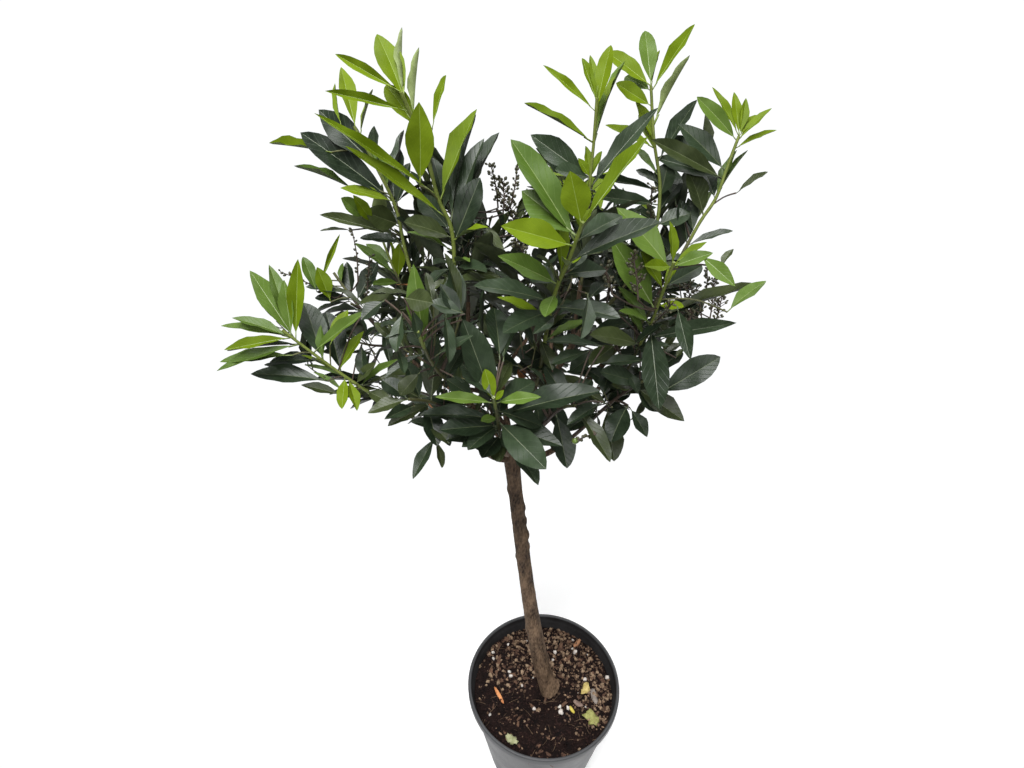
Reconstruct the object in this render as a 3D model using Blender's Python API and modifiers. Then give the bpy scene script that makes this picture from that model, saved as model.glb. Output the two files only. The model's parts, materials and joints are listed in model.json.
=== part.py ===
"""A potted standard cherry laurel: one clear leaning stem with an open head of lance-shaped leaves, in a
plastic nursery pot filled with compost. Metres, +Z up. The origin is the middle of the pot's underside,
and the front of the plant looks towards -Y."""

import math
import random

import bmesh
import bpy
from mathutils import Vector, noise
from mathutils.bvhtree import BVHTree

# Driving sizes of the pot and the compost
POT_RIM_RADIUS = 0.140
POT_HEIGHT = 0.225
POT_FOOT_RADIUS = 0.102
POT_WALL = 0.003
RIM_DEPTH = 0.014
RIM_OVERHANG = 0.006
POT_STEPS = 32
DRAIN_HOLES = 6
DRAIN_RADIUS = 0.007
DRAIN_CIRCLE = 0.070
COMPOST_LEVEL = POT_HEIGHT - 0.028
COMPOST_RINGS = (0.034, 0.052, 0.074, 0.096, 0.114)
COMPOST_SHOULDER = 0.002
COMPOST_ROUGHNESS = 0.004
COMPOST_LUMPS = 38
CLEARANCE = 0.0003
WELD = 0.000001

# Driving sizes of the stem and its head
TRUNK_FOOT = Vector((0.012, 0.0, COMPOST_LEVEL + CLEARANCE))
TRUNK_TOP = Vector((-0.067, 0.0, 0.802))
TRUNK_BOW = -0.010
TRUNK_RADII = ((0.0, 0.0200), (0.018, 0.0172), (0.05, 0.0155), (0.25, 0.0136), (0.50, 0.0112),
               (0.85, 0.0100), (0.93, 0.0108), (1.0, 0.0102))
TRUNK_STATIONS = (0.0, 0.015, 0.04, 0.10, 0.20, 0.32, 0.44, 0.56, 0.68, 0.78, 0.86, 0.93, 1.0)
TRUNK_SIDES = 12
TRUNK_BURIED = 0.012
TRUNK_UNEVEN = 0.0007
TRUNK_LUMPS = 31
BOUGH_RADIUS = 0.0046
FORK_TAPER = 0.7
LOW_END = 40
SHOOT_TIP_RADIUS = 0.0022
BOUGH_SHARE = 0.40
BOUGH_POINTS = 6
BOUGH_SIDES = 6
STEM_POINTS = 6

# Driving sizes of the foliage; a leaf station is its share of the length and its share of the width
GOLDEN_ANGLE = math.radians(137.5)
FACE_ANGLE = math.tau / 3
LEAF_SLENDERNESS = 3.3
LEAF_DEPTH = 0.0018
LEAF_STATIONS = ((0.34, 0.94), (0.68, 0.90))
KEEL_SHARE = 0.5
LEAF_SPACING = 0.0140
LEAFY_FROM = 0.2
TWIG_SHARES = (0.0, 0.12, 0.50, 1.0)
TWIG_RADII = (0.0009, 0.0028, 0.0025, SHOOT_TIP_RADIUS)
TWIG_LENGTH = 0.080
TWIG_SPREAD = (42, 58)
TWIG_LIFT = 0.34
LOW_TWIG_LIFT = 0.10
RACEME_LENGTH = 0.068
RACEME_BEADS = 5
RACEME_RADII = (0.0014, 0.0034)
TRIES = 7
GUARD = 0.0006
SEED = 15

# Every limb: its parent, how far up the parent it leaves, where its tip ends, the angles above the
# level at which it sets off and ends, its side twigs, its leaf length, how far from its line its
# leaves may reach, and the racemes that it bears
LIMBS = (
    ("top_left", "trunk", 0.998, (-0.160, -0.060, 1.192), 62, 88, 3, 0.098, 0.085, 0),
    ("upper_left", "trunk", 0.965, (-0.232, 0.030, 1.140), 44, 84, 4, 0.096, 0.080, 0),
    ("low_left", "trunk", 0.935, (-0.316, -0.040, 0.972), 26, 50, 4, 0.088, 0.092, 0),
    ("mid_left", "upper_left", 0.24, (-0.285, 0.070, 0.995), 24, 56, 4, 0.084, 0.080, 1),
    ("front_left", "top_left", 0.22, (-0.145, -0.160, 1.035), 34, 70, 4, 0.082, 0.085, 0),
    ("front_low_left", "trunk", 0.925, (-0.168, -0.120, 0.936), 28, 24, 4, 0.080, 0.076, 0),
    ("front_centre", "trunk", 0.955, (-0.080, -0.165, 0.970), 26, 55, 3, 0.078, 0.076, 0),
    ("front_right", "trunk", 0.970, (-0.022, -0.130, 1.130), 48, 78, 4, 0.096, 0.095, 0),
    ("front_low_right", "front_right", 0.20, (0.000, -0.135, 0.940), 20, 28, 4, 0.080, 0.080, 0),
    ("centre", "top_left", 0.32, (-0.115, 0.050, 1.090), 60, 84, 4, 0.088, 0.085, 1),
    ("upper_right", "top_right", 0.34, (0.013, -0.022, 1.182), 66, 88, 3, 0.090, 0.085, 0),
    ("top_right", "trunk", 0.978, (0.080, 0.052, 1.190), 56, 92, 3, 0.094, 0.085, 1),
    ("far_right", "trunk", 0.945, (0.164, 0.040, 1.152), 44, 80, 4, 0.084, 0.066, 0),
    ("mid_right", "far_right", 0.26, (0.118, -0.080, 1.040), 30, 62, 4, 0.086, 0.082, 1),
    ("low_right", "trunk", 0.915, (0.110, -0.060, 0.935), 22, 30, 4, 0.084, 0.082, 0),
    ("back_left", "trunk", 0.950, (-0.240, 0.155, 1.010), 34, 66, 4, 0.088, 0.085, 1),
    ("back_centre", "trunk", 0.980, (-0.105, 0.190, 1.040), 46, 76, 4, 0.090, 0.085, 0),
    ("back_upper", "top_right", 0.20, (0.004, 0.112, 1.085), 60, 82, 3, 0.086, 0.080, 0),
    ("back_right", "back_centre", 0.28, (0.055, 0.165, 1.050), 44, 74, 4, 0.088, 0.085, 1),
    ("back_low_left", "back_left", 0.24, (-0.175, 0.180, 0.910), 14, 28, 4, 0.084, 0.080, 0),
    ("back_low_right", "trunk", 0.930, (0.000, 0.180, 0.905), 18, 34, 4, 0.086, 0.080, 0),
    ("right_back", "far_right", 0.22, (0.130, 0.110, 0.975), 20, 46, 4, 0.084, 0.080, 1),
)

UP = Vector((0, 0, 1))


# Scene, collections and materials
def clear_scene():
    for old in list(bpy.data.objects):
        bpy.data.objects.remove(old)


def new_collection(name):
    made = bpy.data.collections.new(name)
    bpy.context.scene.collection.children.link(made)
    return made


def principled(name, colour, roughness):
    material = bpy.data.materials.new(name)
    material.use_nodes = True
    shader = material.node_tree.nodes["Principled BSDF"]
    shader.inputs["Base Color"].default_value = (*colour, 1)
    shader.inputs["Roughness"].default_value = roughness
    shader.inputs["Metallic"].default_value = 0
    return material


def mesh_object(name, verts, faces, collection, material=None, edges=()):
    mesh = bpy.data.meshes.new(name)
    mesh.from_pydata([tuple(vert) for vert in verts], edges, faces)
    made = bpy.data.objects.new(name, mesh)
    collection.objects.link(made)
    if material:
        mesh.materials.append(material)
    return made


def hidden(obj):
    """A helper that cuts or guides, kept out of the part."""
    obj.hide_render = True
    obj.display_type = "WIRE"
    return obj


def evaluated_mesh(obj):
    bpy.context.view_layer.update()
    graph = bpy.context.evaluated_depsgraph_get()
    return bpy.data.meshes.new_from_object(obj.evaluated_get(graph))


# Limbs of round section: a curve with a radius at each point, made a mesh with its caps welded
def round_limb(name, points, radii, sides, collection, material=None):
    curve = bpy.data.curves.new(name, "CURVE")
    curve.dimensions = "3D"
    curve.use_fill_caps = True
    curve.bevel_depth = 1.0
    curve.bevel_resolution = (sides - 4) // 2
    spline = curve.splines.new("POLY")
    spline.points.add(len(points) - 1)
    for point, place, radius in zip(spline.points, points, radii):
        point.co = (*place, 1)
        point.radius = radius
    line = bpy.data.objects.new(name + "_line", curve)
    collection.objects.link(line)
    mesh = evaluated_mesh(line)
    bpy.data.objects.remove(line)
    bm = bmesh.new()
    bm.from_mesh(mesh)
    bmesh.ops.remove_doubles(bm, verts=bm.verts, dist=WELD)
    bmesh.ops.recalc_face_normals(bm, faces=bm.faces)
    bm.to_mesh(mesh)
    bm.free()
    mesh.name = name
    mesh.materials.clear()
    if material:
        mesh.materials.append(material)
    made = bpy.data.objects.new(name, mesh)
    collection.objects.link(made)
    return made


# Twigs: lofts that twist, so that their faces lie where the leaves leave them
def frames_along(points):
    """The direction and a side at every point, the side carried along without a twist."""
    frames = []
    side = None
    for index in range(len(points)):
        ahead = (points[min(index + 1, len(points) - 1)] - points[max(index - 1, 0)]).normalized()
        side = level_side(ahead) if side is None else side
        side = (side - ahead * side.dot(ahead)).normalized()
        frames.append((ahead, side))
    return frames


def level_side(direction):
    side = direction.cross(UP)
    return side.normalized() if side.length > 0.05 else Vector((1, 0, 0))


def tube_shape(points, radii, sides=3, turns=None):
    """Corners and faces of a tube. Turns holds the angle by which each ring is turned."""
    verts, faces = [], []
    for index, (ahead, side) in enumerate(frames_along(points)):
        other = ahead.cross(side)
        for corner in range(sides):
            angle = corner * math.tau / sides + (turns[index] if turns else 0)
            away = side * math.cos(angle) + other * math.sin(angle)
            verts.append(points[index] + away * radii[index])
    for base in range(0, len(verts) - sides, sides):
        for corner in range(sides):
            after = (corner + 1) % sides
            faces.append((base + corner, base + after, base + sides + after, base + sides + corner))
    last = len(verts) - sides
    faces.append(tuple(range(sides - 1, -1, -1)))
    faces.append(tuple(range(last, last + sides)))
    return verts, faces


# The pot, turned from one profile
def wall_radius(height):
    """Radius of the pot's inner wall at a height above its floor."""
    share = (height - POT_WALL) / (POT_HEIGHT - RIM_DEPTH - POT_WALL)
    top = POT_RIM_RADIUS - RIM_OVERHANG - POT_WALL
    return POT_FOOT_RADIUS - POT_WALL + share * (top - POT_FOOT_RADIUS + POT_WALL)


def turned(name, profile, steps, material):
    """A closed solid turned about Z from a profile that starts and ends on the axis."""
    verts = [(radius, 0, height) for radius, height in profile]
    edges = [(index, index + 1) for index in range(len(verts) - 1)]
    made = mesh_object(name, verts, [], plant, material, edges)
    screw = made.modifiers.new("turn", "SCREW")
    screw.steps = screw.render_steps = steps
    screw.use_merge_vertices = True
    screw.merge_threshold = 0.00005
    return made


def make_pot():
    lip = POT_HEIGHT - RIM_DEPTH
    body = POT_RIM_RADIUS - RIM_OVERHANG
    profile = (
        (0, POT_WALL),
        (POT_FOOT_RADIUS - POT_WALL, POT_WALL),
        (body - POT_WALL, lip),
        (POT_RIM_RADIUS - 0.0062, lip + 0.002),
        (POT_RIM_RADIUS - 0.0055, POT_HEIGHT - 0.001),
        (POT_RIM_RADIUS - 0.0040, POT_HEIGHT),
        (POT_RIM_RADIUS - 0.0012, POT_HEIGHT - 0.0006),
        (POT_RIM_RADIUS, POT_HEIGHT - 0.003),
        (POT_RIM_RADIUS - 0.0006, lip + 0.001),
        (POT_RIM_RADIUS - 0.0020, lip),
        (body, lip - 0.001),
        (POT_FOOT_RADIUS + 0.0006, 0.004),
        (POT_FOOT_RADIUS - 0.0018, 0),
        (0, 0),
    )
    pot = turned("pot", profile, POT_STEPS, pot_plastic)
    drains = new_collection("cutters_drains")
    for hole in range(DRAIN_HOLES):
        angle = (hole + 0.5) * math.tau / DRAIN_HOLES
        bm = bmesh.new()
        bmesh.ops.create_cone(bm, cap_ends=True, segments=8, radius1=DRAIN_RADIUS, radius2=DRAIN_RADIUS,
                              depth=4 * POT_WALL)
        cutter = hidden(mesh_object(f"drain_cutter_{hole}", [], [], drains))
        bm.to_mesh(cutter.data)
        bm.free()
        cutter.location = (DRAIN_CIRCLE * math.cos(angle), DRAIN_CIRCLE * math.sin(angle), 0)
    cut = pot.modifiers.new("drain_holes", "BOOLEAN")
    cut.operation = "DIFFERENCE"
    cut.operand_type = "COLLECTION"
    cut.collection = drains
    return pot


# The compost: a plug that fills the pot, level round the stem and rough elsewhere
def make_compost():
    shoulder = COMPOST_LEVEL - COMPOST_SHOULDER
    floor = POT_WALL + CLEARANCE
    top = [(radius, COMPOST_LEVEL) for radius in (0, *COMPOST_RINGS)]
    profile = (*top, (wall_radius(shoulder) - CLEARANCE, shoulder),
               (wall_radius(floor) - CLEARANCE, floor), (0, floor))
    compost = turned("compost", profile, POT_STEPS, compost_mix)
    compost.data = evaluated_mesh(compost)
    compost.modifiers.clear()
    for vert in compost.data.vertices:
        radius = math.hypot(vert.co.x, vert.co.y)
        if vert.co.z > shoulder + CLEARANCE and radius > COMPOST_RINGS[1] - CLEARANCE:
            vert.co.z += COMPOST_ROUGHNESS * (noise.noise(vert.co * COMPOST_LUMPS) - 0.25)
    return compost


# Limbs: every one follows a cubic from its parent's middle line to its own tip
def heading(flat, degrees):
    """A unit vector over the flat direction, at an angle above the level."""
    return flat * math.cos(math.radians(degrees)) + UP * math.sin(math.radians(degrees))


def point_along(points, share):
    """The point at a share of a polyline's length, and the direction there."""
    lengths = [(b - a).length for a, b in zip(points, points[1:])]
    left = share * sum(lengths)
    for a, b, length in zip(points, points[1:], lengths):
        if left <= length or b is points[-1]:
            return a.lerp(b, left / length), (b - a).normalized()
        left -= length


def distance_to(points, place):
    """How far a place is from a polyline, taken at its points."""
    return min((point - place).length for point in points)


def limb_line(start, tip, rise, end):
    """A smooth line of 33 points that sets off at one angle and ends at another."""
    flat = Vector((tip.x - start.x, tip.y - start.y, 0)).normalized()
    reach = (tip - start).length
    out = start + heading(flat, rise) * reach * 0.40
    into = tip - heading(flat, end) * reach * 0.36
    steps = [step / 32 for step in range(33)]
    return [start * (1 - t) ** 3 + out * 3 * t * (1 - t) ** 2 + into * 3 * t * t * (1 - t) + tip * t ** 3
            for t in steps]


def trunk_line():
    """The stem's middle line, which leans most near the ground."""
    straight = TRUNK_TOP - TRUNK_FOOT
    return [TRUNK_FOOT + straight * share + Vector((TRUNK_BOW * math.sin(math.pi * share ** 0.65), 0, 0))
            for share in TRUNK_STATIONS]


def trunk_radius(share):
    for (low, wide), (high, thin) in zip(TRUNK_RADII, TRUNK_RADII[1:]):
        if share <= high:
            return wide + (thin - wide) * (share - low) / (high - low)
    return TRUNK_RADII[-1][1]


def limb_radius(limb, share):
    return limb["radius"] + (SHOOT_TIP_RADIUS - limb["radius"]) * share ** 0.8


def plan_limbs():
    """Every limb's line, radius and foliage sizes, parents before their own side limbs."""
    planned = {}
    waiting = list(LIMBS)
    while waiting:
        row = waiting.pop(0)
        name, parent, share, tip, rise, end, twigs, leaf, reach, racemes = row
        if parent != "trunk" and parent not in planned:
            waiting.append(row)
            continue
        start, _ = point_along(trunk_line() if parent == "trunk" else planned[parent]["line"], share)
        radius = BOUGH_RADIUS if parent == "trunk" else FORK_TAPER * limb_radius(planned[parent], share)
        planned[name] = {
            "name": name, "parent": parent, "line": limb_line(start, Vector(tip), rise, end),
            "radius": radius, "twigs": twigs, "leaf": leaf, "reach": reach, "racemes": racemes,
            "low": end < LOW_END,
        }
    return planned


def stretch(limb, start, end, count):
    """Points and radii of a part of a limb's line."""
    shares = [start + (end - start) * step / (count - 1) for step in range(count)]
    points = [point_along(limb["line"], share)[0] for share in shares]
    return points, [limb_radius(limb, share) for share in shares]


def grown(points, radii):
    """The same line and radii, larger all round by the clearance."""
    longer = [*points[:-1], points[-1] + (points[-1] - points[-2]).normalized() * CLEARANCE]
    return longer, [radius + CLEARANCE for radius in radii]


def make_trunk(name, points, radii, level, collection, material=None):
    """The stem, uneven in girth and cut level at the ground."""
    below = points[0] - (points[1] - points[0]).normalized() * TRUNK_BURIED
    trunk = round_limb(name, [below, *points], [radii[0], *radii], TRUNK_SIDES, collection, material)
    for vert in trunk.data.vertices:
        vert.co += vert.normal * TRUNK_UNEVEN * noise.noise(vert.co * TRUNK_LUMPS)
    bm = bmesh.new()
    bm.from_mesh(trunk.data)
    everything = [*bm.verts, *bm.edges, *bm.faces]
    bmesh.ops.bisect_plane(bm, geom=everything, plane_co=(0, 0, level), plane_no=UP, clear_inner=True)
    bmesh.ops.holes_fill(bm, edges=bm.edges)
    bmesh.ops.recalc_face_normals(bm, faces=bm.faces)
    bm.to_mesh(trunk.data)
    bm.free()
    return trunk


def make_limbs(limbs):
    """The trunk, then every bough, its foot trimmed clear of its parent."""
    line = trunk_line()
    radii = [trunk_radius(share) for share in TRUNK_STATIONS]
    make_trunk("trunk", line, radii, TRUNK_FOOT.z, plant, bark)
    cutters = {"trunk": hidden(make_trunk("trunk_cutter", *grown(line, radii), COMPOST_LEVEL, guides))}
    for name, limb in limbs.items():
        points, radii = stretch(limb, 0, BOUGH_SHARE, BOUGH_POINTS)
        bough = round_limb("bough_" + name, points, radii, BOUGH_SIDES, plant, bark)
        cutters[name] = hidden(round_limb("cutter_" + name, *grown(points, radii), BOUGH_SIDES, guides))
        trim = bough.modifiers.new("trim_foot", "BOOLEAN")
        trim.operation = "DIFFERENCE"
        trim.object = cutters[limb["parent"]]


# Foliage: the seeded rule that places twigs and leaves, and the room that each keeps
class Room:
    """What is already placed. A new shape has to miss all of it, but for the one twig that it grows
    from, which only its outer part has to miss."""

    def __init__(self):
        self.shapes = []

    def add(self, verts, faces, twig=None):
        centre = sum(verts, Vector()) / len(verts)
        reach = max((vert - centre).length for vert in verts)
        self.shapes.append((twig, BVHTree.FromPolygons(verts, faces), centre, reach))

    def is_free(self, verts, faces, own_twig=None, outer_faces=None):
        whole = BVHTree.FromPolygons(verts, faces)
        outer = BVHTree.FromPolygons(verts, outer_faces) if outer_faces else None
        centre = sum(verts, Vector()) / len(verts)
        reach = max((vert - centre).length for vert in verts)
        for twig, shape, middle, radius in self.shapes:
            if (middle - centre).length > reach + radius:
                continue
            mine = outer if own_twig and twig is own_twig else whole
            if mine and mine.overlap(shape):
                return False
        return True


def leaf_corners(leaf, grow=0.0):
    """A leaf's seven corners: its foot, two at each station, its tip and its keel."""
    def spot(share):
        bend = leaf["curl"] * share * share
        return leaf["root"] + (leaf["along"] * share - leaf["normal"] * bend) * leaf["length"]

    half = leaf["length"] / LEAF_SLENDERNESS / 2
    corners = [spot(0)]
    for share, width in LEAF_STATIONS:
        middle = spot(share) + leaf["normal"] * grow
        across = leaf["side"] * (half * width + grow)
        corners += [middle - across, middle + across]
    tip = spot(1 + grow / leaf["length"])
    return [*corners, tip, spot(KEEL_SHARE) - leaf["normal"] * (LEAF_DEPTH + grow)]


LEAF_FACES = ((0, 2, 1), (1, 2, 4, 3), (3, 4, 5), (0, 1, 6), (1, 3, 6), (3, 5, 6), (5, 4, 6), (4, 2, 6),
              (2, 0, 6))
BLADE_FACES = ((1, 2, 4, 3), (3, 4, 5), (1, 3, 6), (3, 5, 6), (5, 4, 6), (4, 2, 6))


def make_twig(points, radii, phase):
    """A three-sided twig, twisted so that each next leaf leaves the middle of its next face at the
    golden angle to the one before."""
    lengths = [(b - a).length for a, b in zip(points, points[1:])]
    count = max(5, round(sum(lengths) / LEAF_SPACING))
    twist = (GOLDEN_ANGLE - FACE_ANGLE) * (count - 1)
    shares = [sum(lengths[:index]) / sum(lengths) for index in range(len(points))]
    return {"points": points, "radii": radii, "count": count, "phase": phase, "twist": twist,
            "shares": shares, "turns": [phase + twist * share for share in shares]}


def twig_shape(twig, grow=0.0):
    return tube_shape(twig["points"], [radius + grow for radius in twig["radii"]], 3, twig["turns"])


def on_twig(twig, share, face):
    """A point on a twig's middle line, its direction there, and the way out of one of its faces."""
    root, shoot = point_along(twig["points"], share)
    above = next(index for index, ring in enumerate(twig["shares"]) if ring >= share and index)
    low, high = twig["shares"][above - 1:above + 1]
    (_, side), (_, next_side) = frames_along(twig["points"])[above - 1:above + 1]
    side = side.lerp(next_side, (share - low) / (high - low))
    side = (side - shoot * side.dot(shoot)).normalized()
    angle = twig["phase"] + twig["twist"] * share + (face + 0.5) * FACE_ANGLE
    away = side * math.cos(angle) + shoot.cross(side) * math.sin(angle)
    return root, shoot, away


def leaf_at(root, shoot, away, spread, length, curl, hang):
    """One leaf on a shoot: how far it spreads from it, and how far its blade turns to the light."""
    along = (shoot * math.cos(spread) + away * math.sin(spread) - UP * hang).normalized()
    facing = shoot * math.sin(spread) - away * math.cos(spread) + UP * 0.9
    normal = (facing - along * facing.dot(along)).normalized()
    return {"root": root, "along": along, "normal": normal, "side": along.cross(normal).normalized(),
            "length": length, "curl": curl}


def grow_twigs(limb, rng, room):
    """The side twigs of a mass: each leaves a face of the stem and turns up towards the light."""
    stem_length = sum((b - a).length for a, b in zip(limb["stem"]["points"], limb["stem"]["points"][1:]))
    lift = UP * (LOW_TWIG_LIFT if limb["low"] else TWIG_LIFT)
    twigs = []
    for number in range(limb["twigs"]):
        share = 0.10 + 0.62 * (number + 0.3 * rng.random()) / limb["twigs"]
        length = min(TWIG_LENGTH, stem_length * (0.62 - 0.30 * share)) * rng.uniform(0.88, 1.12)
        spread = math.radians(rng.uniform(*TWIG_SPREAD))
        phase = rng.uniform(0, math.tau)
        for attempt in range(TRIES):
            root, shoot, away = on_twig(limb["stem"], share + 0.02 * attempt, 2 * number + attempt)
            set_off = shoot * math.cos(spread) + away * math.sin(spread)
            line = [root + (set_off * step + lift * step * step) * length for step in TWIG_SHARES]
            twig = make_twig(line, TWIG_RADII, phase)
            if room.is_free(*twig_shape(twig, 2 * GUARD), own_twig=limb["stem"]):
                room.add(*twig_shape(twig), twig)
                twigs.append(twig)
                break
    return twigs


def grow_racemes(limb, rng, room):
    """Upright spikes of buds, drawn as one knobbly tube each, on the upper half of the stem."""
    points_up = 2 * RACEME_BEADS + 2
    radii = [RACEME_RADII[0], *([RACEME_RADII[0], RACEME_RADII[1]] * RACEME_BEADS), RACEME_RADII[0]]
    racemes = []
    for number in range(limb["racemes"]):
        for attempt in range(TRIES):
            share = 0.45 + 0.08 * attempt
            root, shoot, away = on_twig(limb["stem"], share, number + attempt)
            way = (shoot * 0.6 + away * 0.75 + UP * 0.4).normalized()
            steps = [0, *(0.30 + 0.70 * step / points_up for step in range(1, points_up))]
            line = [root + (way * step + UP * 0.12 * step * step) * RACEME_LENGTH for step in steps]
            raceme = {"points": line, "radii": radii, "turns": [rng.uniform(0, 1)] * len(line)}
            if room.is_free(*twig_shape(raceme, GUARD), own_twig=limb["stem"]):
                room.add(*twig_shape(raceme))
                racemes.append(raceme)
                break
    return racemes


def grow_leaves(limb, twig, rng, room):
    """Leaves down a twig from its tip: short and upright at the tip, wide and hanging low down."""
    leaves = []
    for index in range(twig["count"] - 1, -1, -1):
        rank = index / (twig["count"] - 1)
        size = limb["leaf"] * (0.70 + 0.42 * math.sin(math.pi * (0.16 + 0.66 * (1 - rank))))
        size *= rng.uniform(0.90, 1.10)
        spread = math.radians(70 - 44 * rank + rng.uniform(-8, 8))
        curl = 0.16 - 0.09 * rank + rng.uniform(-0.05, 0.05)
        hang = (0.30 if limb["low"] else 0.14) * (1 - rank) + rng.uniform(-0.05, 0.05)
        for attempt in range(TRIES):
            root, shoot, away = on_twig(twig, LEAFY_FROM + (0.97 - LEAFY_FROM) * rank, index + attempt)
            leaf = leaf_at(root, shoot, away, spread, size * (1 - 0.04 * attempt), curl, hang)
            whole = leaf_corners(leaf, GUARD)
            if distance_to(limb["line"], whole[5]) > limb["reach"]:
                continue
            if room.is_free(whole, LEAF_FACES, twig, BLADE_FACES):
                room.add(leaf_corners(leaf), LEAF_FACES)
                leaves.append(leaf)
                break
    return leaves


def grow_crown(limbs):
    """Wood first, then racemes, then leaves, so that no leaf takes a twig's room."""
    room = Room()
    rng = random.Random(SEED)
    room.add(*tube_shape(trunk_line(), [trunk_radius(share) for share in TRUNK_STATIONS], 8))
    for limb in limbs.values():
        points, radii = stretch(limb, 0, BOUGH_SHARE, BOUGH_POINTS)
        room.add(*tube_shape(points, [radius + GUARD for radius in radii], 6))
        length = sum((b - a).length for a, b in zip(limb["line"], limb["line"][1:]))
        stem = stretch(limb, BOUGH_SHARE + CLEARANCE / length, 1.0, STEM_POINTS)
        limb["stem"] = make_twig(*stem, rng.uniform(0, math.tau))
        room.add(*twig_shape(limb["stem"]), limb["stem"])
    for limb in limbs.values():
        limb["side_twigs"] = grow_twigs(limb, rng, room)
    for limb in limbs.values():
        limb["spikes"] = grow_racemes(limb, rng, room)
    for limb in limbs.values():
        limb["leaves"] = []
        for twig in (limb["stem"], *limb["side_twigs"]):
            limb["leaves"] += grow_leaves(limb, twig, rng, room)


def keep_outer_shell(mesh):
    """Leaves the largest connected surface and removes the small shells that a union can close off."""
    bm = bmesh.new()
    bm.from_mesh(mesh)
    unseen = set(bm.faces)
    shells = []
    while unseen:
        front = {unseen.pop()}
        shell = set(front)
        while front:
            front = {face for old in front for edge in old.edges for face in edge.link_faces} - shell
            shell |= front
        unseen -= shell
        shells.append(shell)
    shells.sort(key=len)
    bmesh.ops.delete(bm, geom=[face for shell in shells[:-1] for face in shell], context="FACES")
    bm.to_mesh(mesh)
    bm.free()


def make_mass(limb):
    """One node: the stem of a mass, with its twigs, racemes and leaves joined to it by one union."""
    pieces = new_collection("pieces_" + limb["name"])
    mass = mesh_object("foliage_" + limb["name"], *twig_shape(limb["stem"]), plant, leaf_green)
    for twig in (*limb["side_twigs"], *limb["spikes"]):
        mesh_object("twig", *twig_shape(twig), pieces)
    for leaf in limb["leaves"]:
        mesh_object("leaf", leaf_corners(leaf), LEAF_FACES, pieces)
    join = mass.modifiers.new("join", "BOOLEAN")
    join.operation = "UNION"
    # The exact solver leaves folded shells where these thin pieces cross
    join.solver = "MANIFOLD"
    join.operand_type = "COLLECTION"
    join.collection = pieces
    joined = evaluated_mesh(mass)
    mass.modifiers.clear()
    mass.data = joined
    keep_outer_shell(joined)
    for piece in list(pieces.objects):
        bpy.data.objects.remove(piece)
    bpy.data.collections.remove(pieces)


clear_scene()
plant = new_collection("potted_standard_cherry_laurel")
guides = new_collection("cutters")
pot_plastic = principled("pot_plastic", (0.055, 0.057, 0.062), 0.55)
compost_mix = principled("compost_mix", (0.045, 0.028, 0.020), 0.95)
bark = principled("bark", (0.120, 0.090, 0.072), 0.85)
leaf_green = principled("leaf_green", (0.050, 0.110, 0.030), 0.40)

all_limbs = plan_limbs()
make_pot()
make_compost()
make_limbs(all_limbs)
grow_crown(all_limbs)
for planned_limb in all_limbs.values():
    make_mass(planned_limb)
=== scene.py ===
"""The looks of a potted standard cherry laurel, put together from the pot upwards: pot, compost, stem,
boughs, twigs, leaves, flower spikes and buds. Metres, +Z up, and the front looks towards -Y."""

import json
import math
import random
from itertools import accumulate, product

import bmesh
import bpy
from mathutils import Matrix, Quaternion, Vector, noise
from mathutils.bvhtree import BVHTree

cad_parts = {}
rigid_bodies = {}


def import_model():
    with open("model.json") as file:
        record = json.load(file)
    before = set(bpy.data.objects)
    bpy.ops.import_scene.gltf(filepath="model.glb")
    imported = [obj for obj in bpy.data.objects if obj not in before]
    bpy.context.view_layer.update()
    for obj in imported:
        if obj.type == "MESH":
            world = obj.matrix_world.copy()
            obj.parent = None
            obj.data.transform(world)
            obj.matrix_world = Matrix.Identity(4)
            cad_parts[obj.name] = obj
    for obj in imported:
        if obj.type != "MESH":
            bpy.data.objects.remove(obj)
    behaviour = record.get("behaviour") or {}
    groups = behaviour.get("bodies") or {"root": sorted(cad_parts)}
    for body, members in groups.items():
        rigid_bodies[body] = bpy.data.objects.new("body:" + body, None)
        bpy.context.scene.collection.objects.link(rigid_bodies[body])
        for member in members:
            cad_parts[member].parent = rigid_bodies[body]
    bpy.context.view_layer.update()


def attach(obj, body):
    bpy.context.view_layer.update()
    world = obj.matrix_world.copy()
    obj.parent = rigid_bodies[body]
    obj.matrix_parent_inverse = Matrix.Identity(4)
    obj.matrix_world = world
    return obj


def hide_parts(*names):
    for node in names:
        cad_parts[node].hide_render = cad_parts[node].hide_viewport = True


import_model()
scene = bpy.context.scene
UP = Vector((0, 0, 1))


# The view: the plant stands on a pale floor and is seen from above its crown, in the soft white light
# of a studio. The camera's place and dip are those from which the rim, the stem and the crown of the
# real plant line up.
CAMERA_PLACE = Vector((-0.063, -0.604, 1.268))
CAMERA_DIP = math.radians(32.84)
CAMERA_ROLL = math.radians(0.47)
FOCAL_PIXELS = 577
PICTURE_WIDTH = 1024
SENSOR_WIDTH = 36
FLOOR_RADIUS = 0.75
FLOOR_GLOW = 0.25
FLOOR_CORNERS = 96
BACKDROP_WHITE = 1.05
SKY_STRENGTH = 0.20
SKY_TINT = (0.98, 0.99, 1.0, 1)
LEVEL_UP = Vector((0, math.sin(CAMERA_DIP), math.cos(CAMERA_DIP)))
CAMERA_AHEAD = Vector((0, math.cos(CAMERA_DIP), -math.sin(CAMERA_DIP)))
CAMERA_RIGHT = Vector((math.cos(CAMERA_ROLL), 0, 0)) + LEVEL_UP * math.sin(CAMERA_ROLL)
CAMERA_UP = LEVEL_UP * math.cos(CAMERA_ROLL) - Vector((math.sin(CAMERA_ROLL), 0, 0))
PICTURE_MIDDLE = Vector((512, 384))


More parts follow.
